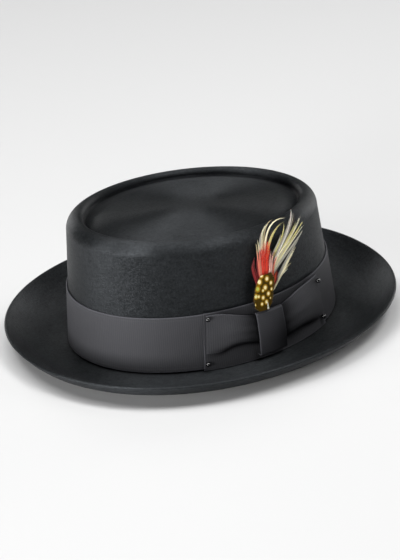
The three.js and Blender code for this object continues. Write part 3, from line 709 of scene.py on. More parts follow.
class Felt:
    """The felt body's shape, from its sizes."""

    def __init__(self, size):
        self.size = size
        steep = size.steepness
        self.groove_width = (size.ridge + size.groove) * math.sin(steep)
        self.groove_drop = (size.ridge + size.groove) * (1 - math.cos(steep))
        run = (size.brim_width - size.base_width) / 2 - size.fold
        slope = math.atan(size.brim_curl / (1 - size.brim_flat) * size.brim_rise / run)
        self.edge_reach = size.wall * math.sin(slope)

    def pitch(self, turn):
        return (self.size.pitch * np.cos(turn) + self.size.cant * np.sin(turn)) / 2

    def shoulder_z(self, turn):
        return self.size.wall + self.size.height - self.size.shoulder + self.pitch(turn)

    def on_wall(self, turn, z, out=0.0):
        """Points of the crown's wall, or of the same wall moved outwards."""
        size = self.size
        part = (z - size.wall) / (self.shoulder_z(turn) - size.wall)
        return oval(turn, mix(size.base_length, size.top_length, part) / 2 + out,
                    mix(size.base_width, size.top_width, part) / 2 + out,
                    2, size.back - size.lean * part, z)

    def on_ridge(self, turn, inset, z):
        size = self.size
        return oval(turn, size.top_length / 2 - inset, size.top_width / 2 - inset,
                    2, size.back - size.lean, z)

    def tip(self, part, turn):
        size = self.size
        inset = size.shoulder + self.groove_width
        past = max(0.0, part - size.tip_edge) / (1 - size.tip_edge)
        fall = (1 - math.cos(math.pi * past)) / 2
        deeper = 1 + size.ends_deeper * np.cos(turn) ** 2
        edge_drop = self.groove_drop * deeper - size.tip_drop - size.tip_dome
        z = (size.wall + size.height + self.pitch(turn) * part - size.tip_drop
             - size.tip_dome * part ** 2 - edge_drop * fall)
        return oval(turn, (size.top_length / 2 - inset) * part,
                    (size.top_width / 2 - inset) * part, 2, size.back - size.lean, z)

    def crease(self, part, turn):
        size = self.size
        on_ridge = part < 0.5
        bend = size.steepness * 2 * (part if on_ridge else 1 - part)
        if on_ridge:
            inset = size.ridge * math.sin(bend)
            drop = size.ridge * (1 - math.cos(bend))
        else:
            inset = self.groove_width - size.groove * math.sin(bend)
            drop = self.groove_drop - size.groove * (1 - math.cos(bend))
        deeper = 1 + size.ends_deeper * np.cos(turn) ** 2
        z = self.shoulder_z(turn) + size.shoulder - drop * deeper
        return self.on_ridge(turn, size.shoulder + inset, z)

    def shoulder(self, part, turn):
        bend = part * math.pi / 2
        inset = self.size.shoulder * (1 - math.sin(bend))
        return self.on_ridge(turn, inset,
                             self.shoulder_z(turn) + self.size.shoulder * math.cos(bend))

    def side(self, part, turn):
        return self.on_wall(turn, mix(self.shoulder_z(turn), self.size.wall + self.size.fold, part))

    def fold(self, part, turn):
        bend = part * math.pi / 2
        z = self.size.wall + self.size.fold * (1 - math.sin(bend))
        return self.on_wall(turn, z + 0 * turn, self.size.fold * (1 - math.cos(bend)))

    def brim(self, part, turn):
        size = self.size
        climb = max(0.0, part - size.brim_flat) / (1 - size.brim_flat)
        edge = size.brim_rise - size.brim_swing * np.cos(turn)
        return oval(turn,
                    mix(size.base_length / 2 + size.fold, size.brim_length / 2 - self.edge_reach, part),
                    mix(size.base_width / 2 + size.fold, size.brim_width / 2 - self.edge_reach, part),
                    mix(2, size.brim_roundness, part), size.back * (1 - part),
                    size.wall + edge * climb ** size.brim_curl)


# How many rings each stretch of the felt has, and the way it runs.
FELT_RINGS = (
    ("tip", 26, 1),
    ("crease", 20, -1),
    ("shoulder", 14, 1),
    ("side", 16, 1),
    ("fold", 5, 1),
    ("brim", 34, 1),
)
FELT_AROUND = 240

# Step in a stretch's part and turn that its slope is measured over.
SLOPE_STEP = 1e-4

# The brim's cut edge: where its rings lie between the two faces, how far it swells as a share
# of the felt, and the power that makes the swell fuller than a sine.
CUT_PARTS = (0.08, 0.25, 0.5, 0.75, 0.92)
CUT_SWELL = 0.4
CUT_FULLNESS = 0.6

# How far the nap lies one way, and how far out from the middle of the tip it does, because it
# swirls there.
NAP_LAID = 0.85
NAP_SWIRL = 20 * MM


def felt_rings(felt):
    """The felt's upper and lower faces, from the middle of the tip to the brim's edge."""
    turn = np.linspace(0, 2 * math.pi, FELT_AROUND, endpoint=False)
    step = SLOPE_STEP
    upper = []
    under = []
    for name, count, way in FELT_RINGS:
        stretch = getattr(felt, name)
        parts = (np.arange(count) + 1) / count
        if way < 0:
            parts = 1 - (np.arange(count) + 0.5) / count
        for part in parts:
            along = stretch(part + step, turn) - stretch(part - step, turn)
            beside = stretch(part, turn + step) - stretch(part, turn - step)
            normal = np.cross(along, beside)
            normal /= np.linalg.norm(normal, axis=1)[:, None]
            point = stretch(part, turn)
            upper.append(point)
            under.append(point - normal * felt.size.wall * way)
    return turn, np.array(upper), np.array(under)


def crease_painted_shade(rings, run, size):
    """Painted shade: 1 at the bottom of the crease and where crown meets brim."""
    names, counts, _ = zip(*FELT_RINGS)
    first = dict(zip(names, run_from(counts)))
    bottom = run[first["crease"]] + size.ridge / 2
    break_line = run[first["fold"] + counts[names.index("fold")] // 2]
    depth = np.zeros(rings.shape[:2])
    for middle, width in ((bottom, size.ridge), (break_line, size.fold)):
        depth += np.exp(-((run - middle) / width) ** 2)[:, None]
    return np.minimum(depth, 1)


def build_felt(size):
    """The felt body as one closed shell, with a softened cut edge round the brim."""
    felt = Felt(size)
    turn, upper, under = felt_rings(felt)
    top = upper[-1]
    bottom = under[-1]
    across = bottom - top
    across /= np.linalg.norm(across, axis=1)[:, None]
    round_way = np.stack([np.sin(turn), -np.cos(turn), 0 * turn], axis=1)
    outwards = round_way - across * (round_way * across).sum(axis=1)[:, None]
    outwards /= np.linalg.norm(outwards, axis=1)[:, None]
    edge = []
    for part in CUT_PARTS:
        swell = math.sin(math.pi * part) ** CUT_FULLNESS
        edge.append(mix(top, bottom, part) + outwards * size.wall * CUT_SWELL * swell)
    rings = np.concatenate([upper, np.array(edge), under[::-1]])
    middle = np.array([0, size.back - size.lean, size.wall + size.height - size.tip_drop])
    run = run_from(np.linalg.norm(np.diff(rings, axis=0), axis=2).mean(axis=1))
    nap = np.stack(np.broadcast_arrays(np.cos(turn)[None, :], np.sin(turn)[None, :], run[:, None]),
                   axis=-1)
    away = round_way + 0 * rings
    combed = NAP_LAID * np.clip(run / NAP_SWIRL, 0, 1)[:, None] + 0 * turn
    # The crease attribute carries painted shade for the felt's colour and gloss.
    return ring_mesh("felt_body", rings, (middle, middle - (0, 0, size.wall)), {
        "nap": nap, "away": away, "combed": combed, "crease": crease_painted_shade(rings, run, size)})


# Ribbons

# Columns of points to each rib, and steps of the turn that places are looked up in.
RIB_STEPS = 6
TURN_STEPS = 6000

# Rows of points near each edge of the band: the share of its height from the edge, how high
# the ribs are and how pale the woven edge is.
BAND_EDGE = ((0.01, 0.4, 1), (0.022, 1, 0), (0.05, 1, 0), (0.058, 0.6, 0.5), (0.072, 1, 0))

# Width and paleness of the woven edge of the bow's ribbon.
SELVEDGE_WIDTH = 0.6 * MM
SELVEDGE_PALE = 0.8

# How dark the painted shade of the bow's folds is, from 0 to 1: the painted shadow under a
# wing's lower edge, over its upper edge, beside the keeper, along a wing's lower edge and at
# the keeper's back.
PAINTED_SHADOW_UNDER = 0.95
PAINTED_SHADE_OVER = 0.6
PAINTED_SHADE_BESIDE = 0.75
PAINTED_SHADE_TURNED = 0.9
PAINTED_SHADE_KEEPER = 0.85

# How far the painted shade beside the keeper reaches over a wing.
WING_SHADE = 12 * MM

# A wing's painted shade is full at a third of its length from the outer end, and the backing's
# ends a little way under the keeper. Over the wing it reaches further than under it.
SHADE_RISE = 3
SHADE_PAST = 1.2
OVER_REACH = 4

# Pleats in a wing.
PLEATS = 3

# The keeper's painted shade: its power across the strip, and the share of the strip's length
# at which it would come to nothing.
KEEPER_FADE = 1.2
KEEPER_LIT = 1.3

# Rows and columns of points: up the backing and a wing, across the keeper, round each of its
# corners and up its face.
BACKING_ROWS = 42
WING_ROWS = 28
KEEPER_COLUMNS = 16
KEEPER_CORNER = 9
KEEPER_FACE = 26


class Ribbon:
    """Where the band and the bow lie on the crown."""

    def __init__(self, felt, size):
        self.felt = felt
        self.size = size
        self.band_back = size.gap
        self.band_face = size.gap + size.thickness
        self.backing_back = self.band_face + size.gap
        self.backing_face = self.backing_back + size.thickness
        self.wing_back = self.backing_face + size.gap
        self.wing_face = self.wing_back + size.thickness
        self.foot = felt.size.wall
        grid = np.linspace(-2 * math.pi, 4 * math.pi, TURN_STEPS + 1)
        pace = np.hypot(felt.size.base_width / 2 * np.cos(grid),
                        felt.size.base_length / 2 * np.sin(grid))
        steps = (pace[1:] + pace[:-1]) / 2 * np.diff(grid)
        run = run_from(steps)
        self.grid = grid
        self.run = run - np.interp(size.bow_angle, grid, run)
        self.round = np.interp(size.bow_angle + 2 * math.pi, grid, self.run)

    def turn_at(self, distance):
        """The turn at a distance along the crown from the bow's middle."""
        return np.interp(distance, self.run, self.grid)

    def bow_end(self, part):
        return mix(self.size.bow_length, self.size.bow_top, part) / 2


def band_mesh(ribbon):
    size = ribbon.size
    ribs = round(ribbon.round / size.rib_pitch)
    columns = ribs * RIB_STEPS
    distance = np.arange(columns) / columns * ribbon.round
    turn = ribbon.turn_at(distance)
    low = ribbon.foot + size.band_lift
    back = ribbon.band_back
    face = ribbon.band_face
    # The share of the band's height, how far out, how high the ribs are and how pale the edge.
    rows = [(0, back, 0, 0), (1, back, 0, 0), (1, face, 0, 1)]
    rows += [(1 - part, face, raised, edge) for part, raised, edge in BAND_EDGE]
    rows += [(part, face, 1, 0) for part in (0.75, 0.5, 0.25)]
    rows += [(part, face, raised, edge) for part, raised, edge in reversed(BAND_EDGE)]
    rows += [(0, face, 0, 1)]
    rings = []
    values = {"weave": [], "front": [], "edge": []}
    for part, out, raised, edge in rows:
        rings.append(ribbon.felt.on_wall(turn, low + size.band_height * part + 0 * turn, out))
        values["weave"].append(np.stack([distance / ribbon.round * ribs * size.rib_pitch,
                                         0 * turn + size.band_height * part, 0 * turn], axis=1))
        values["front"].append(0 * turn + raised)
        values["edge"].append(0 * turn + edge)
    return ring_mesh("ribbon_band", np.array(rings), None,
                     {key: np.array(grid) for key, grid in values.items()})


def front_only(u, v, face):
    """1 on the front of a sheet, away from its edges."""
    inside = (u > 0.002) & (u < 0.998) & (v > 0.002) & (v < 0.998)
    return inside * float(face)


def ribbon_sheet(name, columns, rows, place, along, across, fold, painted_lit_end=0.0, ribbed=1.0):
    """A sheet of ribbon with its weave: metres along the rib count, and along a rib. The fold
    is how deep in painted shade each point lies, and the turned ends are painted pale as a
    highlight over the given width."""
    mesh = sheet_mesh(name, columns, rows, place, {
        "front": lambda u, v, face: front_only(u, v, face) * ribbed,
        "fold": lambda u, v, face: fold(u, v)})
    u, v = np.meshgrid(columns, rows, indexing="ij")
    length_at = along(u, v)
    rib_at = across(u, v)
    one = np.stack([length_at, rib_at, 0 * u], axis=-1).reshape(-1, 3)
    store(mesh, "weave", np.concatenate([one, one]))
    selvedge = np.minimum(rib_at, rib_at.max() - rib_at) < SELVEDGE_WIDTH
    # Painted highlight: the turned ends are painted fully pale, where the fold would catch light.
    ends = np.minimum(length_at - length_at.min(), length_at.max() - length_at) < painted_lit_end
    edge = np.maximum(selvedge * SELVEDGE_PALE, ends * 1.0).reshape(-1)
    store(mesh, "edge", np.concatenate([edge, edge]))
    return mesh


def wing_span(size, side):
    """Where a wing ends under the keeper, and its length from there to its outer end."""
    inner = size.keeper_offset + side * (size.keeper_width / 2 - size.wing_tuck)
    return inner, size.bow_length / 2 - size.wing_inset - side * inner


def faded(distance, reach):
    """1 at no distance, and close to 0 past the reach."""
    return np.exp(-(distance / reach) ** 2)


def backing_mesh(ribbon):
    size = ribbon.size
    columns = round(size.bow_length / size.rib_pitch) * RIB_STEPS

    def distance(u, v):
        return mix(-ribbon.bow_end(v), ribbon.bow_end(v), u)

    def place(u, v, face):
        out = mix(ribbon.backing_back, ribbon.backing_face, face)
        z = ribbon.foot + size.bow_lift + size.bow_height * v
        return ribbon.felt.on_wall(ribbon.turn_at(distance(u, v)), z, out)

    def fold(u, v):
        """Painted shadow under each wing's lower edge, and painted shade over its upper edge."""
        deep = 0 * u
        for table, side in ((FRONT_WING, -1), (BACK_WING, 1)):
            inner, span = wing_span(size, side)
            along = 1 - side * (distance(u, v) - inner) / span
            below = (smooth_column(table, "low", along) - v) * size.bow_height
            lifted = np.clip(along * SHADE_RISE, 0, 1) * (along < SHADE_PAST) * (along > 0)
            shade = faded(np.maximum(below - size.shadow, 0), size.shadow) * lifted
            above = (v - smooth_column(table, "high", along)) * size.bow_height
            over = (faded(np.maximum(above, 0), OVER_REACH * size.shadow) * lifted
                    * (above > -size.shadow))
            deep = np.maximum(deep, np.where(above > -size.shadow, over * PAINTED_SHADE_OVER,
                                             shade * PAINTED_SHADOW_UNDER))
        return deep

    return ribbon_sheet("bow_ribbon_backing", even_steps(columns),
                        close_steps(BACKING_ROWS, size.bow_height), place, distance,
                        lambda u, v: size.bow_height * v, fold, size.wing_inset)


# Sections of the two wings, from the outer end to the keeper. Low and high are shares of the
# bow's height, lift is a share of the wing's, and pleats a share of their depth.
WING_COLUMNS = ("along", "low", "high", "lift", "pleats")
FRONT_WING = (
    (0, 0.31, 0.97, 0.05, 0),
    (0.25, 0.32, 0.96, 0.5, 0.1),
    (0.5, 0.39, 0.9, 1, 0.3),
    (0.75, 0.38, 0.83, 1.1, 0.7),
    (1, 0.31, 0.76, 0.45, 1),
)
BACK_WING = (
    (0, 0.24, 0.96, 0.05, 0),
    (0.25, 0.26, 0.95, 0.5, 0.1),
    (0.5, 0.3, 0.92, 1, 0.3),
    (0.75, 0.3, 0.85, 1.1, 0.7),
    (1, 0.24, 0.78, 0.45, 1),
)


def smooth_column(table, column, at):
    """A table's column as a smooth curve through its rows."""
    where = [row[0] for row in table]
    values = [row[WING_COLUMNS.index(column)] for row in table]
    slopes = np.gradient(values, where)
    place = np.clip(at, 0, 1)
    index = np.clip(np.searchsorted(where, place, side="right") - 1, 0, len(where) - 2)
    low = np.take(where, index)
    step = np.take(where, index + 1) - low
    t = (place - low) / step
    return ((2 * t ** 3 - 3 * t ** 2 + 1) * np.take(values, index)
            + (t ** 3 - 2 * t ** 2 + t) * step * np.take(slopes, index)
            + (3 * t ** 2 - 2 * t ** 3) * np.take(values, index + 1)
            + (t ** 3 - t ** 2) * step * np.take(slopes, index + 1))


def wing_mesh(ribbon, name, table, side):
    size = ribbon.size
    inner, span = wing_span(size, side)

    def share_up(along, v):
        return mix(smooth_column(table, "low", along), smooth_column(table, "high", along), v)

    def distance(along, v):
        outer = side * (ribbon.bow_end(share_up(along, v)) - size.wing_inset)
        return mix(outer, inner, along)

    def place(u, v, face):
        along = u if side < 0 else 1 - u
        lift = np.maximum(smooth_column(table, "lift", along), 0)
        pleats = np.maximum(smooth_column(table, "pleats", along), 0)
        # The belly's sine starts a quarter of the way in, so the lower edge stands off too.
        belly = np.sin(math.pi * np.minimum(1, (1 + 3 * v) / 4))
        fold = (1 - np.cos(2 * PLEATS * math.pi * v)) / 2
        out = (ribbon.wing_back + size.wing_lift * lift * belly + size.pleat * pleats * fold
               + size.thickness * face)
        z = ribbon.foot + size.bow_lift + size.bow_height * share_up(along, v)
        return ribbon.felt.on_wall(ribbon.turn_at(distance(along, v)), z, out)

    def fold(u, v):
        """Painted shade beside the keeper, and along the lower edge where that turns under."""
        along = u if side < 0 else 1 - u
        beside = np.maximum((1 - along) * span - size.wing_tuck, 0)
        lower = faded(v, 2 * size.shadow / size.bow_height) * np.clip(along * SHADE_RISE, 0, 1)
        return np.maximum(faded(beside, WING_SHADE) * PAINTED_SHADE_BESIDE, lower * PAINTED_SHADE_TURNED)

    columns = round(size.bow_length / 2 / size.rib_pitch) * RIB_STEPS
    return ribbon_sheet(name, even_steps(columns),
                        close_steps(WING_ROWS, size.bow_height / 2), place,
                        lambda u, v: distance(u if side < 0 else 1 - u, 0 * v + 0.5),
                        lambda u, v: size.bow_height * v, fold)


def keeper_mesh(ribbon):
    """A strip that runs up over the wings and folds in at both ends."""
    size = ribbon.size
    wing_end = size.wing_lift * max(FRONT_WING[-1][3], BACK_WING[-1][3]) + size.pleat
    inner = ribbon.wing_face + wing_end + size.gap
    outer = inner + size.thickness
    corner = (inner - ribbon.wing_back) / 4 + size.thickness
    low = ribbon.foot + size.keeper_foot
    high = low + size.keeper_height
    slot = ribbon.wing_back + size.keeper_slot - size.gap
    quarter = np.linspace(0, math.pi / 2, KEEPER_CORNER)
    path = [(low, ribbon.wing_back), (low, (ribbon.wing_back + outer - corner) / 2)]
    path += [(low + corner * (1 - math.cos(a)), outer - corner + corner * math.sin(a)) for a in quarter]
    for part in np.linspace(0, 1, KEEPER_FACE)[1:-1]:
        z = mix(low + corner, high - corner, part)
        path.append((z, outer + size.keeper_belly * math.sin(math.pi * part)))
    path += [(high - corner * (1 - math.sin(a)), outer - corner + corner * math.cos(a)) for a in quarter]
    path += [(high, (outer - corner + slot) / 2), (high, slot)]
    path = np.array(path)
    run = run_from(np.hypot(*np.diff(path, axis=0).T))
    rows = round(run[-1] / size.rib_pitch) * RIB_STEPS
    at = np.linspace(0, run[-1], rows + 1)
    z = np.interp(at, run, path[:, 0])
    out = np.interp(at, run, path[:, 1])
    slope = np.stack([np.gradient(out), -np.gradient(z)], axis=1)
    slope /= np.linalg.norm(slope, axis=1)[:, None]

    def place(u, v, face):
        i = np.rint(v * rows).astype(int)
        depth = size.thickness * (1 - face)
        fuller = size.keeper_crown * (1 - (2 * u - 1) ** 2) * np.sin(math.pi * v)
        turn = ribbon.turn_at(size.keeper_offset + (u - 0.5) * size.keeper_width)
        return ribbon.felt.on_wall(turn, z[i] + slope[i, 0] * depth,
                                   out[i] + slope[i, 1] * depth + fuller)

    def fold(u, v):
        """Painted shade: a little darker to the foot and the back, where the strip turns away."""
        return PAINTED_SHADE_KEEPER * u ** KEEPER_FADE * np.clip(KEEPER_LIT - v, 0, 1)

    return ribbon_sheet("bow_ribbon_keeper", close_steps(KEEPER_COLUMNS, size.keeper_width),
                        even_steps(rows), place, lambda u, v: v * run[-1],
                        lambda u, v: u * size.keeper_width, fold, ribbed=0.3)


# Where each pin goes in: the bow's end, the share of the bow's height, what it sits on, and
# the node that it stands for.
PINS = (
    (-1, 0.93, "wing_face", "bow_pin_front_top"),
    (-1, 0.13, "backing_face", "bow_pin_front_bottom"),
    (1, 0.88, "wing_face", "bow_pin_back_top"),
    (1, 0.18, "backing_face", "bow_pin_back_bottom"),
)


def pin_points(ribbon):
    size = ribbon.size
    points = []
    ways = []
    for end, up, layer, _ in PINS:
        inset = size.front_inset if end < 0 else size.back_inset
        turn = ribbon.turn_at(end * (ribbon.bow_end(up) - inset))
        z = ribbon.foot + size.bow_lift + size.bow_height * up
        seat = ribbon.felt.on_wall(turn, z, getattr(ribbon, layer) + size.gap)
        above = ribbon.felt.on_wall(turn, z, getattr(ribbon, layer) + size.gap + MM)
        points.append(seat)
        ways.append((above - seat) / np.linalg.norm(above - seat))
    mesh = bpy.data.meshes.new("bow_pins")
    mesh.from_pydata([tuple(p) for p in points], [], [])
    store(mesh, "outwards", np.array(ways))
    return mesh


# Feathers

# A lock's width sets out and ends at these shares of half a sine wave, so that it is widest
# near its middle.
LOCK_START = 0.15
LOCK_END = 0.93

# Rings of a stem, and points round it.
STEM_STEPS = 24
STEM_SIDES = 8

# How each feather's barbs grow: the room that they lift through, the shortest barb as a share
# of the longest, and what its seed adds to the common one.
BARB_GROWTH = {
    "hackle": (0.4 * MM, 0.75, 0),
    "red": (0.35 * MM, 0.8, 1),
    "guinea": (0.2 * MM, 0.8, 2),
}

# The red feather: where its barbs leave the stem, how far their tips stand out, where its stem
# reaches its layer, and the share of the height at which the stem ends.
RED_ROOT = 5 * MM
RED_FAN = 0.4 * MM
RED_REACH = 4 * MM
RED_STEM = 0.4

# The spotted feather's vane: its thickness, how far its middle rises, and the share of its width
# that is left to the edge barbs.
VANE_THICKNESS = 0.35 * MM
VANE_CROWN = 0.5 * MM
VANE_INSET = 0.04

# Its edge locks: how many on each side, the barbs in each, a lock's width as a share of the
# feather's, and a barb's as a share of the other feathers' barbs.
EDGE_LOCKS = 12
EDGE_BARBS = 8
EDGE_LOCK_WIDTH = 0.1
EDGE_BARB_WIDTH = 0.7

# Its stem: where it reaches its layer, and the share of the height at which it ends.
GUINEA_REACH = 1.6 * MM
GUINEA_STEM = 0.25

# An edge lock's four points: how far out each lies from the middle of the vane to its edge, and
# how much higher each is than the last. The lowest and highest lock leave the vane at these
# shares of its height.
EDGE_REACHES = (0.55, 0.8, 0.95, 1.06)
EDGE_RISE = 0.045
EDGE_LOWEST = 0.1
EDGE_HIGHEST = 0.9

# How a height counts against a width in a spot, which makes it taller than wide, and how
# steeply the barb lines slant from the middle.
SPOT_STRETCH = 0.8
BARB_SLANT = 1.4

# Columns and rows of points of the vane.
VANE_COLUMNS = 60
VANE_ROWS = 90


class Feathers:
    """Where the feathers stand: sideways from the keeper's middle, up from its top, and out."""

    def __init__(self, ribbon, size):
        self.ribbon = ribbon
        self.size = size
        self.top = ribbon.foot + ribbon.size.keeper_foot + ribbon.size.keeper_height
        self.stem_layer = ribbon.wing_back + size.stem_thickness / 2

    def place(self, side, up, out):
        turn = self.ribbon.turn_at(self.ribbon.size.keeper_offset + side)
        return self.ribbon.felt.on_wall(turn, self.top + up, self.stem_layer + out)


# The hackle's locks, from the back to the front: the points that each lock passes beside and
# above its stem, as shares of the hackle's spread and height, its width as a share of the
# spread, how far it stands out in millimetres, and its colour.
HACKLE_LOCKS = (
    # side 1, up 1, side 2, up 2, side 3, up 3, width, out, colour
    (0.21, 0.38, 0.39, 0.48, 0.66, 0.56, 0.14, -0.9, "brown"),
    (0.15, 0.43, 0.35, 0.61, 0.58, 0.69, 0.15, -0.9, "brown"),
    (0.17, 0.45, 0.61, 0.72, 0.86, 0.91, 0.05, -0.6, "brown"),
    (0.04, 0.46, 0.12, 0.71, 0.33, 0.85, 0.09, -0.9, "brown"),
    (-0.06, 0.43, -0.08, 0.66, -0.09, 0.78, 0.022, -0.3, "straw"),
    (-0.04, 0.45, -0.04, 0.67, -0.05, 0.81, 0.024, -0.3, "cream"),
    (-0.01, 0.47, 0.00, 0.76, 0.11, 0.89, 0.035, -0.2, "grey"),
    (0.00, 0.47, 0.03, 0.79, 0.21, 0.95, 0.035, -0.1, "cream"),
    (0.00, 0.47, 0.09, 0.82, 0.30, 0.97, 0.03, -0.3, "straw"),
    (0.04, 0.49, 0.17, 0.85, 0.59, 0.92, 0.035, 0.1, "cream"),
    (0.07, 0.50, 0.21, 0.77, 0.53, 0.90, 0.045, 0.2, "yellow"),
    (0.11, 0.47, 0.39, 0.69, 0.52, 0.88, 0.022, 0.2, "yellow"),
    (0.13, 0.47, 0.31, 0.65, 0.44, 0.79, 0.03, 0.0, "grey"),
    (0.16, 0.45, 0.49, 0.71, 0.69, 0.92, 0.04, 0.1, "grey"),
    (0.16, 0.45, 0.54, 0.73, 0.74, 0.99, 0.025, 0.3, "white"),
    (0.17, 0.45, 0.56, 0.72, 0.79, 0.93, 0.03, 0.1, "grey"),
    (0.17, 0.43, 0.58, 0.68, 0.85, 0.84, 0.04, 0.3, "yellow"),
    (0.18, 0.43, 0.62, 0.68, 0.95, 0.86, 0.04, 0.4, "cream"),
    (0.19, 0.42, 0.67, 0.66, 1.00, 0.78, 0.03, 0.3, "yellow"),
    (0.20, 0.41, 0.69, 0.64, 1.04, 0.74, 0.035, 0.4, "cream"),
    (0.21, 0.39, 0.67, 0.58, 0.97, 0.69, 0.03, 0.2, "grey"),
    (0.18, 0.41, 0.40, 0.59, 0.68, 0.65, 0.03, 0.5, "cream"),
    (0.16, 0.41, 0.37, 0.62, 0.59, 0.64, 0.06, -0.2, "straw"),
    (0.23, 0.28, 0.49, 0.46, 0.85, 0.62, 0.04, 0.2, "grey"),
    (0.25, 0.27, 0.53, 0.45, 0.74, 0.55, 0.04, 0.1, "cream"),
    (0.26, 0.27, 0.48, 0.41, 0.65, 0.49, 0.05, 0.0, "straw"),
    (0.25, 0.26, 0.45, 0.36, 0.59, 0.40, 0.04, 0.1, "straw"),
    (0.23, 0.26, 0.34, 0.32, 0.48, 0.36, 0.022, 0.3, "cream"),
)

# The red feather's locks: the same columns, as shares of its width and height.
RED_LOCKS = (
    (-0.13, 0.51, -0.21, 0.67, -0.09, 0.83, 0.17, -0.4, "dark_red"),
    (0.03, 0.55, 0.04, 0.74, 0.17, 0.92, 0.16, -0.5, "dark_red"),
    (0.45, 0.47, 0.63, 0.65, 0.91, 0.81, 0.3, -0.6, "dark_red"),
    (0.62, 0.33, 0.79, 0.42, 0.92, 0.51, 0.14, -0.3, "dark_red"),
    (0.12, 0.56, 0.19, 0.80, 0.47, 1.02, 0.26, 0.0, "red"),
    (0.20, 0.55, 0.30, 0.78, 0.60, 1.02, 0.26, 0.2, "red"),
    (0.29, 0.54, 0.40, 0.76, 0.68, 0.98, 0.24, 0.1, "red"),
    (0.36, 0.52, 0.45, 0.69, 0.63, 0.87, 0.16, 0.0, "red"),
    (0.03, 0.56, 0.03, 0.75, 0.03, 0.93, 0.05, 0.2, "salmon"),
    (0.08, 0.57, 0.10, 0.76, 0.14, 0.93, 0.07, 0.3, "salmon"),
    (0.44, 0.51, 0.55, 0.68, 0.68, 0.84, 0.08, 0.2, "pink"),
    (0.50, 0.50, 0.63, 0.66, 0.78, 0.80, 0.08, 0.3, "pink"),
    (0.56, 0.48, 0.72, 0.62, 0.92, 0.74, 0.07, 0.2, "salmon"),
    (0.50, 0.41, 0.62, 0.50, 0.73, 0.59, 0.12, 0.1, "orange"),
    (0.53, 0.35, 0.69, 0.44, 0.81, 0.53, 0.12, 0.2, "orange"),
)


def through(points, t):
    """The smooth curve through four points, reached at 0, 1/3, 2/3 and 1, and its slope."""
    bases = np.arange(4) / 3
    place = 0
    slope = 0
    for i, point in enumerate(points):
        others = np.delete(bases, i)
        scale = np.prod(bases[i] - others)
        factors = t - others
        place = place + point * np.prod(factors) / scale
        parts = sum(np.prod(np.delete(factors, k)) for k in range(3))
        slope = slope + point * parts / scale
    return place, slope


def guide_mesh(feathers, name, guides, steps=16):
    """Guide lines for barbs. Each passes four points, and has a width, layer and colour."""
    points = []
    edges = []
    values = {"along": [], "across": [], "outwards": [], "dye": []}
    for route, width, layer, fan, dye in guides:
        route = np.array(route)
        for i in range(steps + 1):
            t = i / steps
            (side, up), slope = through(route, t)
            slope = slope / np.linalg.norm(slope)
            out = layer + fan * t
            here = feathers.place(side, up, out)
            beside = feathers.place(side + slope[1] * MM, up - slope[0] * MM, out)
            above = feathers.place(side, up, out + MM)
            across = (beside - here) / np.linalg.norm(beside - here)
            fullness = math.sin(math.pi * mix(LOCK_START, LOCK_END, t))
            points.append(here)
            values["along"].append(t)
            values["across"].append(across * width / 2 * fullness)
            values["outwards"].append((above - here) / np.linalg.norm(above - here))
            values["dye"].append(dye)
            if i:
                edges.append((len(points) - 2, len(points) - 1))
    mesh = bpy.data.meshes.new(name)
    mesh.from_pydata([tuple(p) for p in points], edges, [])
    for key, grid in values.items():
        store(mesh, key, np.array(grid))
    return mesh


def lock_guides(table, colours, stem, root, spread, height, layer, fan):
    """Guides for a table of locks, which all start at one root on the stem."""
    guides = []
    for *passes, width, out, dye in table:
        shares = np.array(passes).reshape(3, 2)
        route = [(stem, root)] + [(stem + x * spread, y * height) for x, y in shares]
        guides.append((route, width * spread, layer + out * MM, fan, getattr(colours, dye)))
    return guides


def stem_mesh(feathers, name, side, layer, reach, tip, dye):
    """A stem that goes down behind the keeper, steps out to its layer and thins to its tip."""
    size = feathers.size
    # How far up, how far out, and the share of the full width.
    rows = np.array([
        (-size.stem_depth, 0, 1),
        (feathers.ribbon.size.gap * 2, 0, 1),
        (reach, layer, 0.9),
        (tip, layer, 0.35),
    ])
    at = np.linspace(0, len(rows) - 1, STEM_STEPS + 1)
    up, out, full = (np.interp(at, range(len(rows)), rows[:, k]) for k in range(3))
    around = np.linspace(0, 2 * math.pi, STEM_SIDES, endpoint=False)
    rings = np.array([
        feathers.place(side + np.cos(around) * size.stem_width / 2 * full[i],
                       up[i] + 0 * around,
                       out[i] + np.sin(around) * size.stem_thickness / 2 * full[i])
        for i in range(len(at))])
    ends = (rings[0].mean(axis=0), rings[-1].mean(axis=0))
    one = np.ones(rings.shape[:2])
    return ring_mesh(name, rings, ends, {
        "along": one, "chance": one * 0.7, "dye": one[:, :, None] * np.array(dye)})


# Outline of the spotted feather, from the foot to the tip: up is a share of its height, left
# and right are shares of its width from the stem.
GUINEA_OUTLINE = (
    (0.055, -0.38, 0.06),
    (0.185, -0.53, 0.2),
    (0.41, -0.56, 0.3),
    (0.63, -0.47, 0.41),
    (0.815, -0.37, 0.46),
    (1, -0.14, 0.33),
)

# The spotted feather's spots: side and up as shares of its width and height, the radius as a
# share of its width, and how green the spot is.
SPOTS = (
    (-0.12, 1.01, 0.077, 0.0), (0.09, 0.88, 0.077, 0.0), (-0.24, 0.85, 0.083, 0.0),
    (0.25, 0.73, 0.064, 0.0), (-0.03, 0.66, 0.077, 0.1), (-0.35, 0.68, 0.080, 0.9),
    (-0.14, 0.60, 0.048, 0.2), (0.25, 0.56, 0.051, 0.1), (0.08, 0.47, 0.070, 0.0),
    (-0.46, 0.49, 0.070, 0.4), (-0.35, 0.47, 0.051, 0.3), (-0.17, 0.41, 0.064, 0.1),
    (-0.05, 0.27, 0.064, 0.2), (-0.25, 0.25, 0.051, 0.2), (-0.54, 0.27, 0.045, 0.2),
    (0.15, 0.33, 0.032, 0.1),
)


def outline_at(outline, up):
    rows = np.array(outline)
    return np.interp(up, rows[:, 0], rows[:, 1]), np.interp(up, rows[:, 0], rows[:, 2])


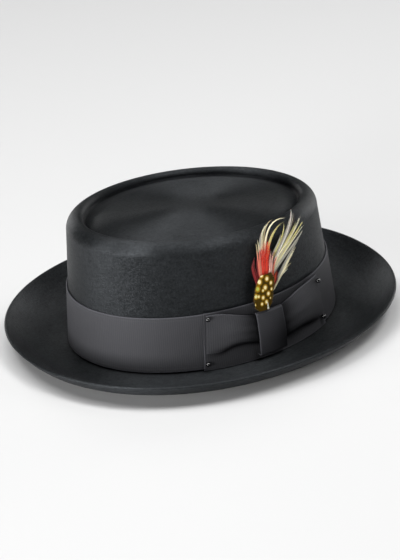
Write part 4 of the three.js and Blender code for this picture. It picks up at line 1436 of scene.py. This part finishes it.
def vane_mesh(feathers, name, outline, stem, width, height, layer):
    """A thin crowned vane inside a feather's outline, with its spots and barb lines."""
    low = outline[0][0]

    def flat(u, v):
        up = mix(low, 1, v)
        left, right = outline_at(outline, up)
        middle = (left + right) / 2
        half = (right - left) / 2 * (1 - VANE_INSET)
        return middle + half * (2 * u - 1), up

    def place(u, v, face):
        side, up = flat(u, v)
        out = layer + VANE_CROWN * np.sin(math.pi * u) + (face - 0.5) * VANE_THICKNESS
        return feathers.place(stem + width * side, height * up, out)

    def nearest(u, v, wanted):
        side, up = flat(u, v)
        best = 0 * u
        green = 0 * u
        for spot_side, spot_up, radius, tint in SPOTS:
            away = np.hypot((side - spot_side) * width, (up - spot_up) * height * SPOT_STRETCH)
            value = 1 - away / (radius * width * 2)
            green = np.where(value > best, tint, green)
            best = np.maximum(value, best)
        return green if wanted == "green" else best

    def streak(u, v, face):
        side, up = flat(u, v)
        return height * up - np.abs(side * width) * BARB_SLANT

    return sheet_mesh(name, even_steps(VANE_COLUMNS), even_steps(VANE_ROWS), place, {
        "spot": lambda u, v, face: nearest(u, v, "spot"),
        "green": lambda u, v, face: nearest(u, v, "green"),
        "streak": streak,
    })


def joined(name, meshes):
    """One mesh from several, with their attributes kept."""
    objects = [new_object(f"{name}_{i}", mesh) for i, mesh in enumerate(meshes)]
    with bpy.context.temp_override(active_object=objects[0], object=objects[0],
                                   selected_objects=objects,
                                   selected_editable_objects=objects):
        bpy.ops.object.join()
    piece = objects[0]
    piece.name = name
    return piece


# Operators

# Lamps: degrees round from the camera, positive to its right, degrees up, the diameter in
# metres and the watts.
LAMPS = (
    ("key", -36, 6, 0.8, 42),
    ("right_top", 66, 62, 0.8, 23),
    ("left_low", -68, 6, 0.8, 20),
    ("left_top", -60, 65, 0.8, 13),
    ("top", 0, 88, 0.8, 11.5),
    ("left_back_top", -120, 65, 0.8, 7.9),
    ("right_edge", 130, 8, 0.8, 6.5),
    ("back", 180, 45, 0.8, 4.3),
    ("left_back", -150, 8, 0.8, 4.2),
    ("right", 90, 30, 0.8, 4.1),
    ("right_back", 150, 8, 0.8, 2.4),
)

# The camera's sensor in millimetres, and how far it sees in metres.
SENSOR_WIDTH = 36
FURTHEST_SEEN = 50


def towards(turn, height):
    """The way out from the hat at a turn from the front, and a height angle."""
    flat = math.cos(height)
    return Vector((math.sin(turn) * flat, -math.cos(turn) * flat, math.sin(height)))


def place_object(scene, name, data, place, turned):
    """A lamp or a camera at its place, turned as its matrix says."""
    thing = bpy.data.objects.new(name, data)
    scene.collection.objects.link(thing)
    thing.matrix_world = Matrix.Translation(place) @ turned.to_4x4()
    return thing


def lay_floor(scene):
    half = scene.hat_stage.floor_size / 2
    mesh = bpy.data.meshes.new("floor")
    corners = [(-half, -half, 0), (half, -half, 0), (half, half, 0), (-half, half, 0)]
    mesh.from_pydata(corners, [], [(0, 1, 2, 3)])
    floor = new_object("floor", mesh)
    mesh.materials.append(painted_floor(scene.hat_colours))


def set_camera(scene):
    stage = scene.hat_stage
    back = towards(stage.azimuth, stage.elevation)
    right = Vector((math.cos(stage.azimuth), math.sin(stage.azimuth), 0))
    up = back.cross(right)
    target = Vector((stage.target_x, stage.target_y, stage.target_z))
    side = right * math.cos(stage.roll) + up * math.sin(stage.roll)
    above = up * math.cos(stage.roll) - right * math.sin(stage.roll)
    lens = bpy.data.cameras.new("camera")
    lens.lens = stage.lens
    lens.sensor_width = SENSOR_WIDTH
    lens.sensor_fit = "AUTO"
    lens.clip_end = FURTHEST_SEEN
    scene.camera = place_object(scene, "camera", lens, target + back * stage.distance,
                                Matrix((side, above, back)).transposed())


def hang_lamps(scene):
    stage = scene.hat_stage
    aim = Vector((0, 0, stage.lamp_aim))
    for name, turn, height, size, power in LAMPS:
        data = bpy.data.lights.new(name, "AREA")
        data.shape = "DISK"
        data.size = size
        data.energy = power
        away = towards(stage.azimuth + math.radians(turn), math.radians(height))
        place_object(scene, name, data, aim + away * stage.lamp_distance,
                     (-away).to_track_quat("-Z", "Y").to_matrix())


def surround(scene):
    world = bpy.data.worlds.new("studio")
    world.use_nodes = True
    sky = world.node_tree.nodes["Background"]
    sky.inputs["Color"].default_value = (1, 1, 1, 1)
    sky.inputs["Strength"].default_value = scene.hat_stage.sky
    scene.world = world
    scene.view_settings.view_transform = "Standard"


class HatStage(bpy.types.Operator):
    """Floor, lights and camera"""
    bl_idname = "hat.stage"
    bl_label = "Stage"

    def execute(self, context):
        for step in (lay_floor, set_camera, hang_lamps, surround):
            step(context.scene)
        return {"FINISHED"}


class HatFelt(bpy.types.Operator):
    """Felt crown and brim, one blocked body"""
    bl_idname = "hat.felt_body"
    bl_label = "Felt body"

    def execute(self, context):
        mesh = build_felt(context.scene.hat_felt)
        mesh.materials.append(fur_felt(context.scene.hat_colours))
        piece = new_object("felt_body", mesh)
        finish_piece(piece, ["hat_body"])
        return {"FINISHED"}


def scene_ribbon(scene):
    return Ribbon(Felt(scene.hat_felt), scene.hat_ribbon)


def ribbon_material(scene):
    return bpy.data.materials.get("black_rayon_grosgrain") or grosgrain(scene.hat_colours)


def dress_ribbon(scene, mesh, name, node):
    """Raises the ribs on a ribbon's mesh and puts it in place of its node."""
    tree = bpy.data.node_groups.get("grosgrain_ribs") or rib_tree()
    piece = run_tree(new_object(name, mesh), tree, {
        "Rib Pitch": scene.hat_ribbon.rib_pitch, "Rib Depth": scene.hat_ribbon.rib_depth,
        "Material": ribbon_material(scene)})
    finish_piece(piece, [node])


class HatBand(bpy.types.Operator):
    """Grosgrain band round the crown"""
    bl_idname = "hat.band"
    bl_label = "Band"

    def execute(self, context):
        mesh = band_mesh(scene_ribbon(context.scene))
        dress_ribbon(context.scene, mesh, "ribbon_band", "hat_band")
        return {"FINISHED"}


class HatBow(bpy.types.Operator):
    """Bow: its backing, two wings and the keeper round its middle"""
    bl_idname = "hat.bow"
    bl_label = "Bow"

    def execute(self, context):
        ribbon = scene_ribbon(context.scene)
        parts = (
            (backing_mesh(ribbon), "bow_ribbon_backing", "bow_backing"),
            (wing_mesh(ribbon, "bow_ribbon_front", FRONT_WING, -1), "bow_ribbon_front",
             "bow_wing_front"),
            (wing_mesh(ribbon, "bow_ribbon_back", BACK_WING, 1), "bow_ribbon_back",
             "bow_wing_back"),
            (keeper_mesh(ribbon), "bow_ribbon_keeper", "bow_keeper"),
        )
        for mesh, name, node in parts:
            dress_ribbon(context.scene, mesh, name, node)
        return {"FINISHED"}


class HatPins(bpy.types.Operator):
    """Four pins that hold the bow's ends"""
    bl_idname = "hat.pins"
    bl_label = "Pins"

    def execute(self, context):
        ribbon = scene_ribbon(context.scene)
        size = context.scene.hat_ribbon
        piece = run_tree(new_object("bow_pins", pin_points(ribbon)), pin_tree(), {
            "Head": size.pin_head, "Shank": size.pin_shank,
            "Depth": size.thickness + size.gap * 2,
            "Material": lacquered_bead(context.scene.hat_colours)})
        finish_piece(piece, [row[3] for row in PINS])
        return {"FINISHED"}


def scene_feathers(scene):
    return Feathers(scene_ribbon(scene), scene.hat_feathers)


def grow_barbs(scene, key, guides, material, count, width):
    """One feather's barbs along their guide lines."""
    name = f"{key}_barbs"
    mesh = guide_mesh(scene_feathers(scene), name, guides)
    lift, shortest, more = BARB_GROWTH[key]
    tree = bpy.data.node_groups.get("feather_barbs") or barb_tree()
    return run_tree(new_object(name, mesh), tree, {
        "Barbs": count, "Barb Width": width, "Lift": lift, "Shortest": shortest,
        "Seed": scene.hat_feathers.seed + more, "Material": material})


def finish_feather(name, node, meshes, barbs):
    """Makes one piece of a feather's meshes, and removes the object that its barbs grew on."""
    piece = joined(name, meshes)
    bpy.data.objects.remove(barbs)
    finish_piece(piece, [node])


def grow_plume(scene, key, table, material_name, room, stem_place, dye):
    """A plume of locks and its stem. The room is the stem's side, the barbs' root, the spread,
    the height, the layer and the fan, and the stem's place is its side, layer, reach and tip."""
    size = scene.hat_feathers
    material = barb_keratin(material_name)
    guides = lock_guides(table, scene.hat_colours, *room)
    barbs = grow_barbs(scene, key, guides, material, size.barbs, size.barb)
    stem = stem_mesh(scene_feathers(scene), f"{key}_stem", *stem_place, dye)
    stem.materials.append(material)
    return barbs, stem


class HatHackle(bpy.types.Operator):
    """Pale hackle: locks of long barbs that fan out from one stem"""
    bl_idname = "hat.hackle"
    bl_label = "Hackle"

    def execute(self, context):
        scene = context.scene
        size = scene.hat_feathers
        room = (size.hackle_stem, size.hackle_root, size.hackle_spread, size.hackle_height, 0,
                size.hackle_fan)
        barbs, stem = grow_plume(
            scene, "hackle", HACKLE_LOCKS, "cream_hackle_barbs", room,
            (size.hackle_stem, 0, size.hackle_root, size.hackle_root * 2),
            scene.hat_colours.straw)
        finish_feather("hackle", "hackle_feather", [barbs.data, stem], barbs)
        return {"FINISHED"}


class HatRedFeather(bpy.types.Operator):
    """Red feather behind the spotted one"""
    bl_idname = "hat.red_feather"
    bl_label = "Red feather"

    def execute(self, context):
        scene = context.scene
        size = scene.hat_feathers
        room = (size.red_stem, RED_ROOT, size.red_width, size.red_height, size.layer, RED_FAN)
        barbs, stem = grow_plume(
            scene, "red", RED_LOCKS, "dyed_red_barbs", room,
            (size.red_stem, size.layer, RED_REACH, size.red_height * RED_STEM),
            scene.hat_colours.dark_red)
        finish_feather("red_plume", "red_feather", [barbs.data, stem], barbs)
        return {"FINISHED"}


def edge_guides(outline, stem, width, height, layer, dye):
    """Guides for short barbs that leave a blade's edge, slanting towards its tip."""
    guides = []
    for low in np.linspace(EDGE_LOWEST, EDGE_HIGHEST, EDGE_LOCKS):
        for side in (0, 1):
            route = []
            for step, reach in enumerate(EDGE_REACHES):
                up = min(1.0, low + EDGE_RISE * step)
                edge = outline_at(outline, up)
                middle = (edge[0] + edge[1]) / 2
                route.append((stem + width * mix(middle, edge[side], reach), height * up))
            guides.append((route, width * EDGE_LOCK_WIDTH, layer, 0, dye))
    return guides


class HatGuineaFeather(bpy.types.Operator):
    """Spotted feather in front"""
    bl_idname = "hat.guinea_feather"
    bl_label = "Spotted feather"

    def execute(self, context):
        scene = context.scene
        size = scene.hat_feathers
        colours = scene.hat_colours
        feathers = scene_feathers(scene)
        layer = size.layer * 2
        room = (GUINEA_OUTLINE, size.guinea_stem, size.guinea_width, size.guinea_height, layer)
        vane = vane_mesh(feathers, "guinea_vane", *room)
        vane.materials.append(spotted_vane(colours))
        material = barb_keratin("guinea_fowl_barbs")
        barbs = grow_barbs(scene, "guinea", edge_guides(*room, colours.olive), material,
                           EDGE_BARBS, size.barb * EDGE_BARB_WIDTH)
        stem = stem_mesh(feathers, "guinea_stem", size.guinea_stem, layer + VANE_CROWN,
                         GUINEA_REACH, size.guinea_height * GUINEA_STEM, colours.grey)
        stem.materials.append(material)
        finish_feather("spotted_plume", "guinea_feather",
                       [vane, barbs.data, stem], barbs)
        return {"FINISHED"}


class HatPanel(bpy.types.Panel):
    """Sizes, colours and pieces of the hat"""
    bl_idname = "HAT_PT_panel"
    bl_label = "Porkpie Hat"
    bl_space_type = "VIEW_3D"
    bl_region_type = "UI"
    bl_category = "Hat"

    def draw(self, context):
        layout = self.layout
        for operator in OPERATORS:
            layout.operator(operator.bl_idname)
        for key in GROUPS:
            group = getattr(context.scene, key)
            box = layout.box()
            for name in group.bl_rna.properties.keys():
                if name not in ("rna_type", "name"):
                    box.prop(group, name)


GROUPS = {
    "hat_felt": HatFeltSizes,
    "hat_ribbon": HatRibbonSizes,
    "hat_feathers": HatFeatherSizes,
    "hat_colours": HatColours,
    "hat_stage": HatStageSettings,
}
OPERATORS = (HatStage, HatFelt, HatBand, HatBow, HatPins, HatHackle, HatRedFeather,
             HatGuineaFeather)


def register():
    for item in (*GROUPS.values(), *OPERATORS, HatPanel):
        bpy.utils.register_class(item)
    for key, group in GROUPS.items():
        setattr(bpy.types.Scene, key, PointerProperty(type=group))


def unregister():
    for key in GROUPS:
        delattr(bpy.types.Scene, key)
    for item in reversed((*GROUPS.values(), *OPERATORS, HatPanel)):
        bpy.utils.unregister_class(item)


def main():
    register()
    for operator in OPERATORS:
        group, name = operator.bl_idname.split(".")
        getattr(getattr(bpy.ops, group), name)()


if __name__ == "__main__":
    main()
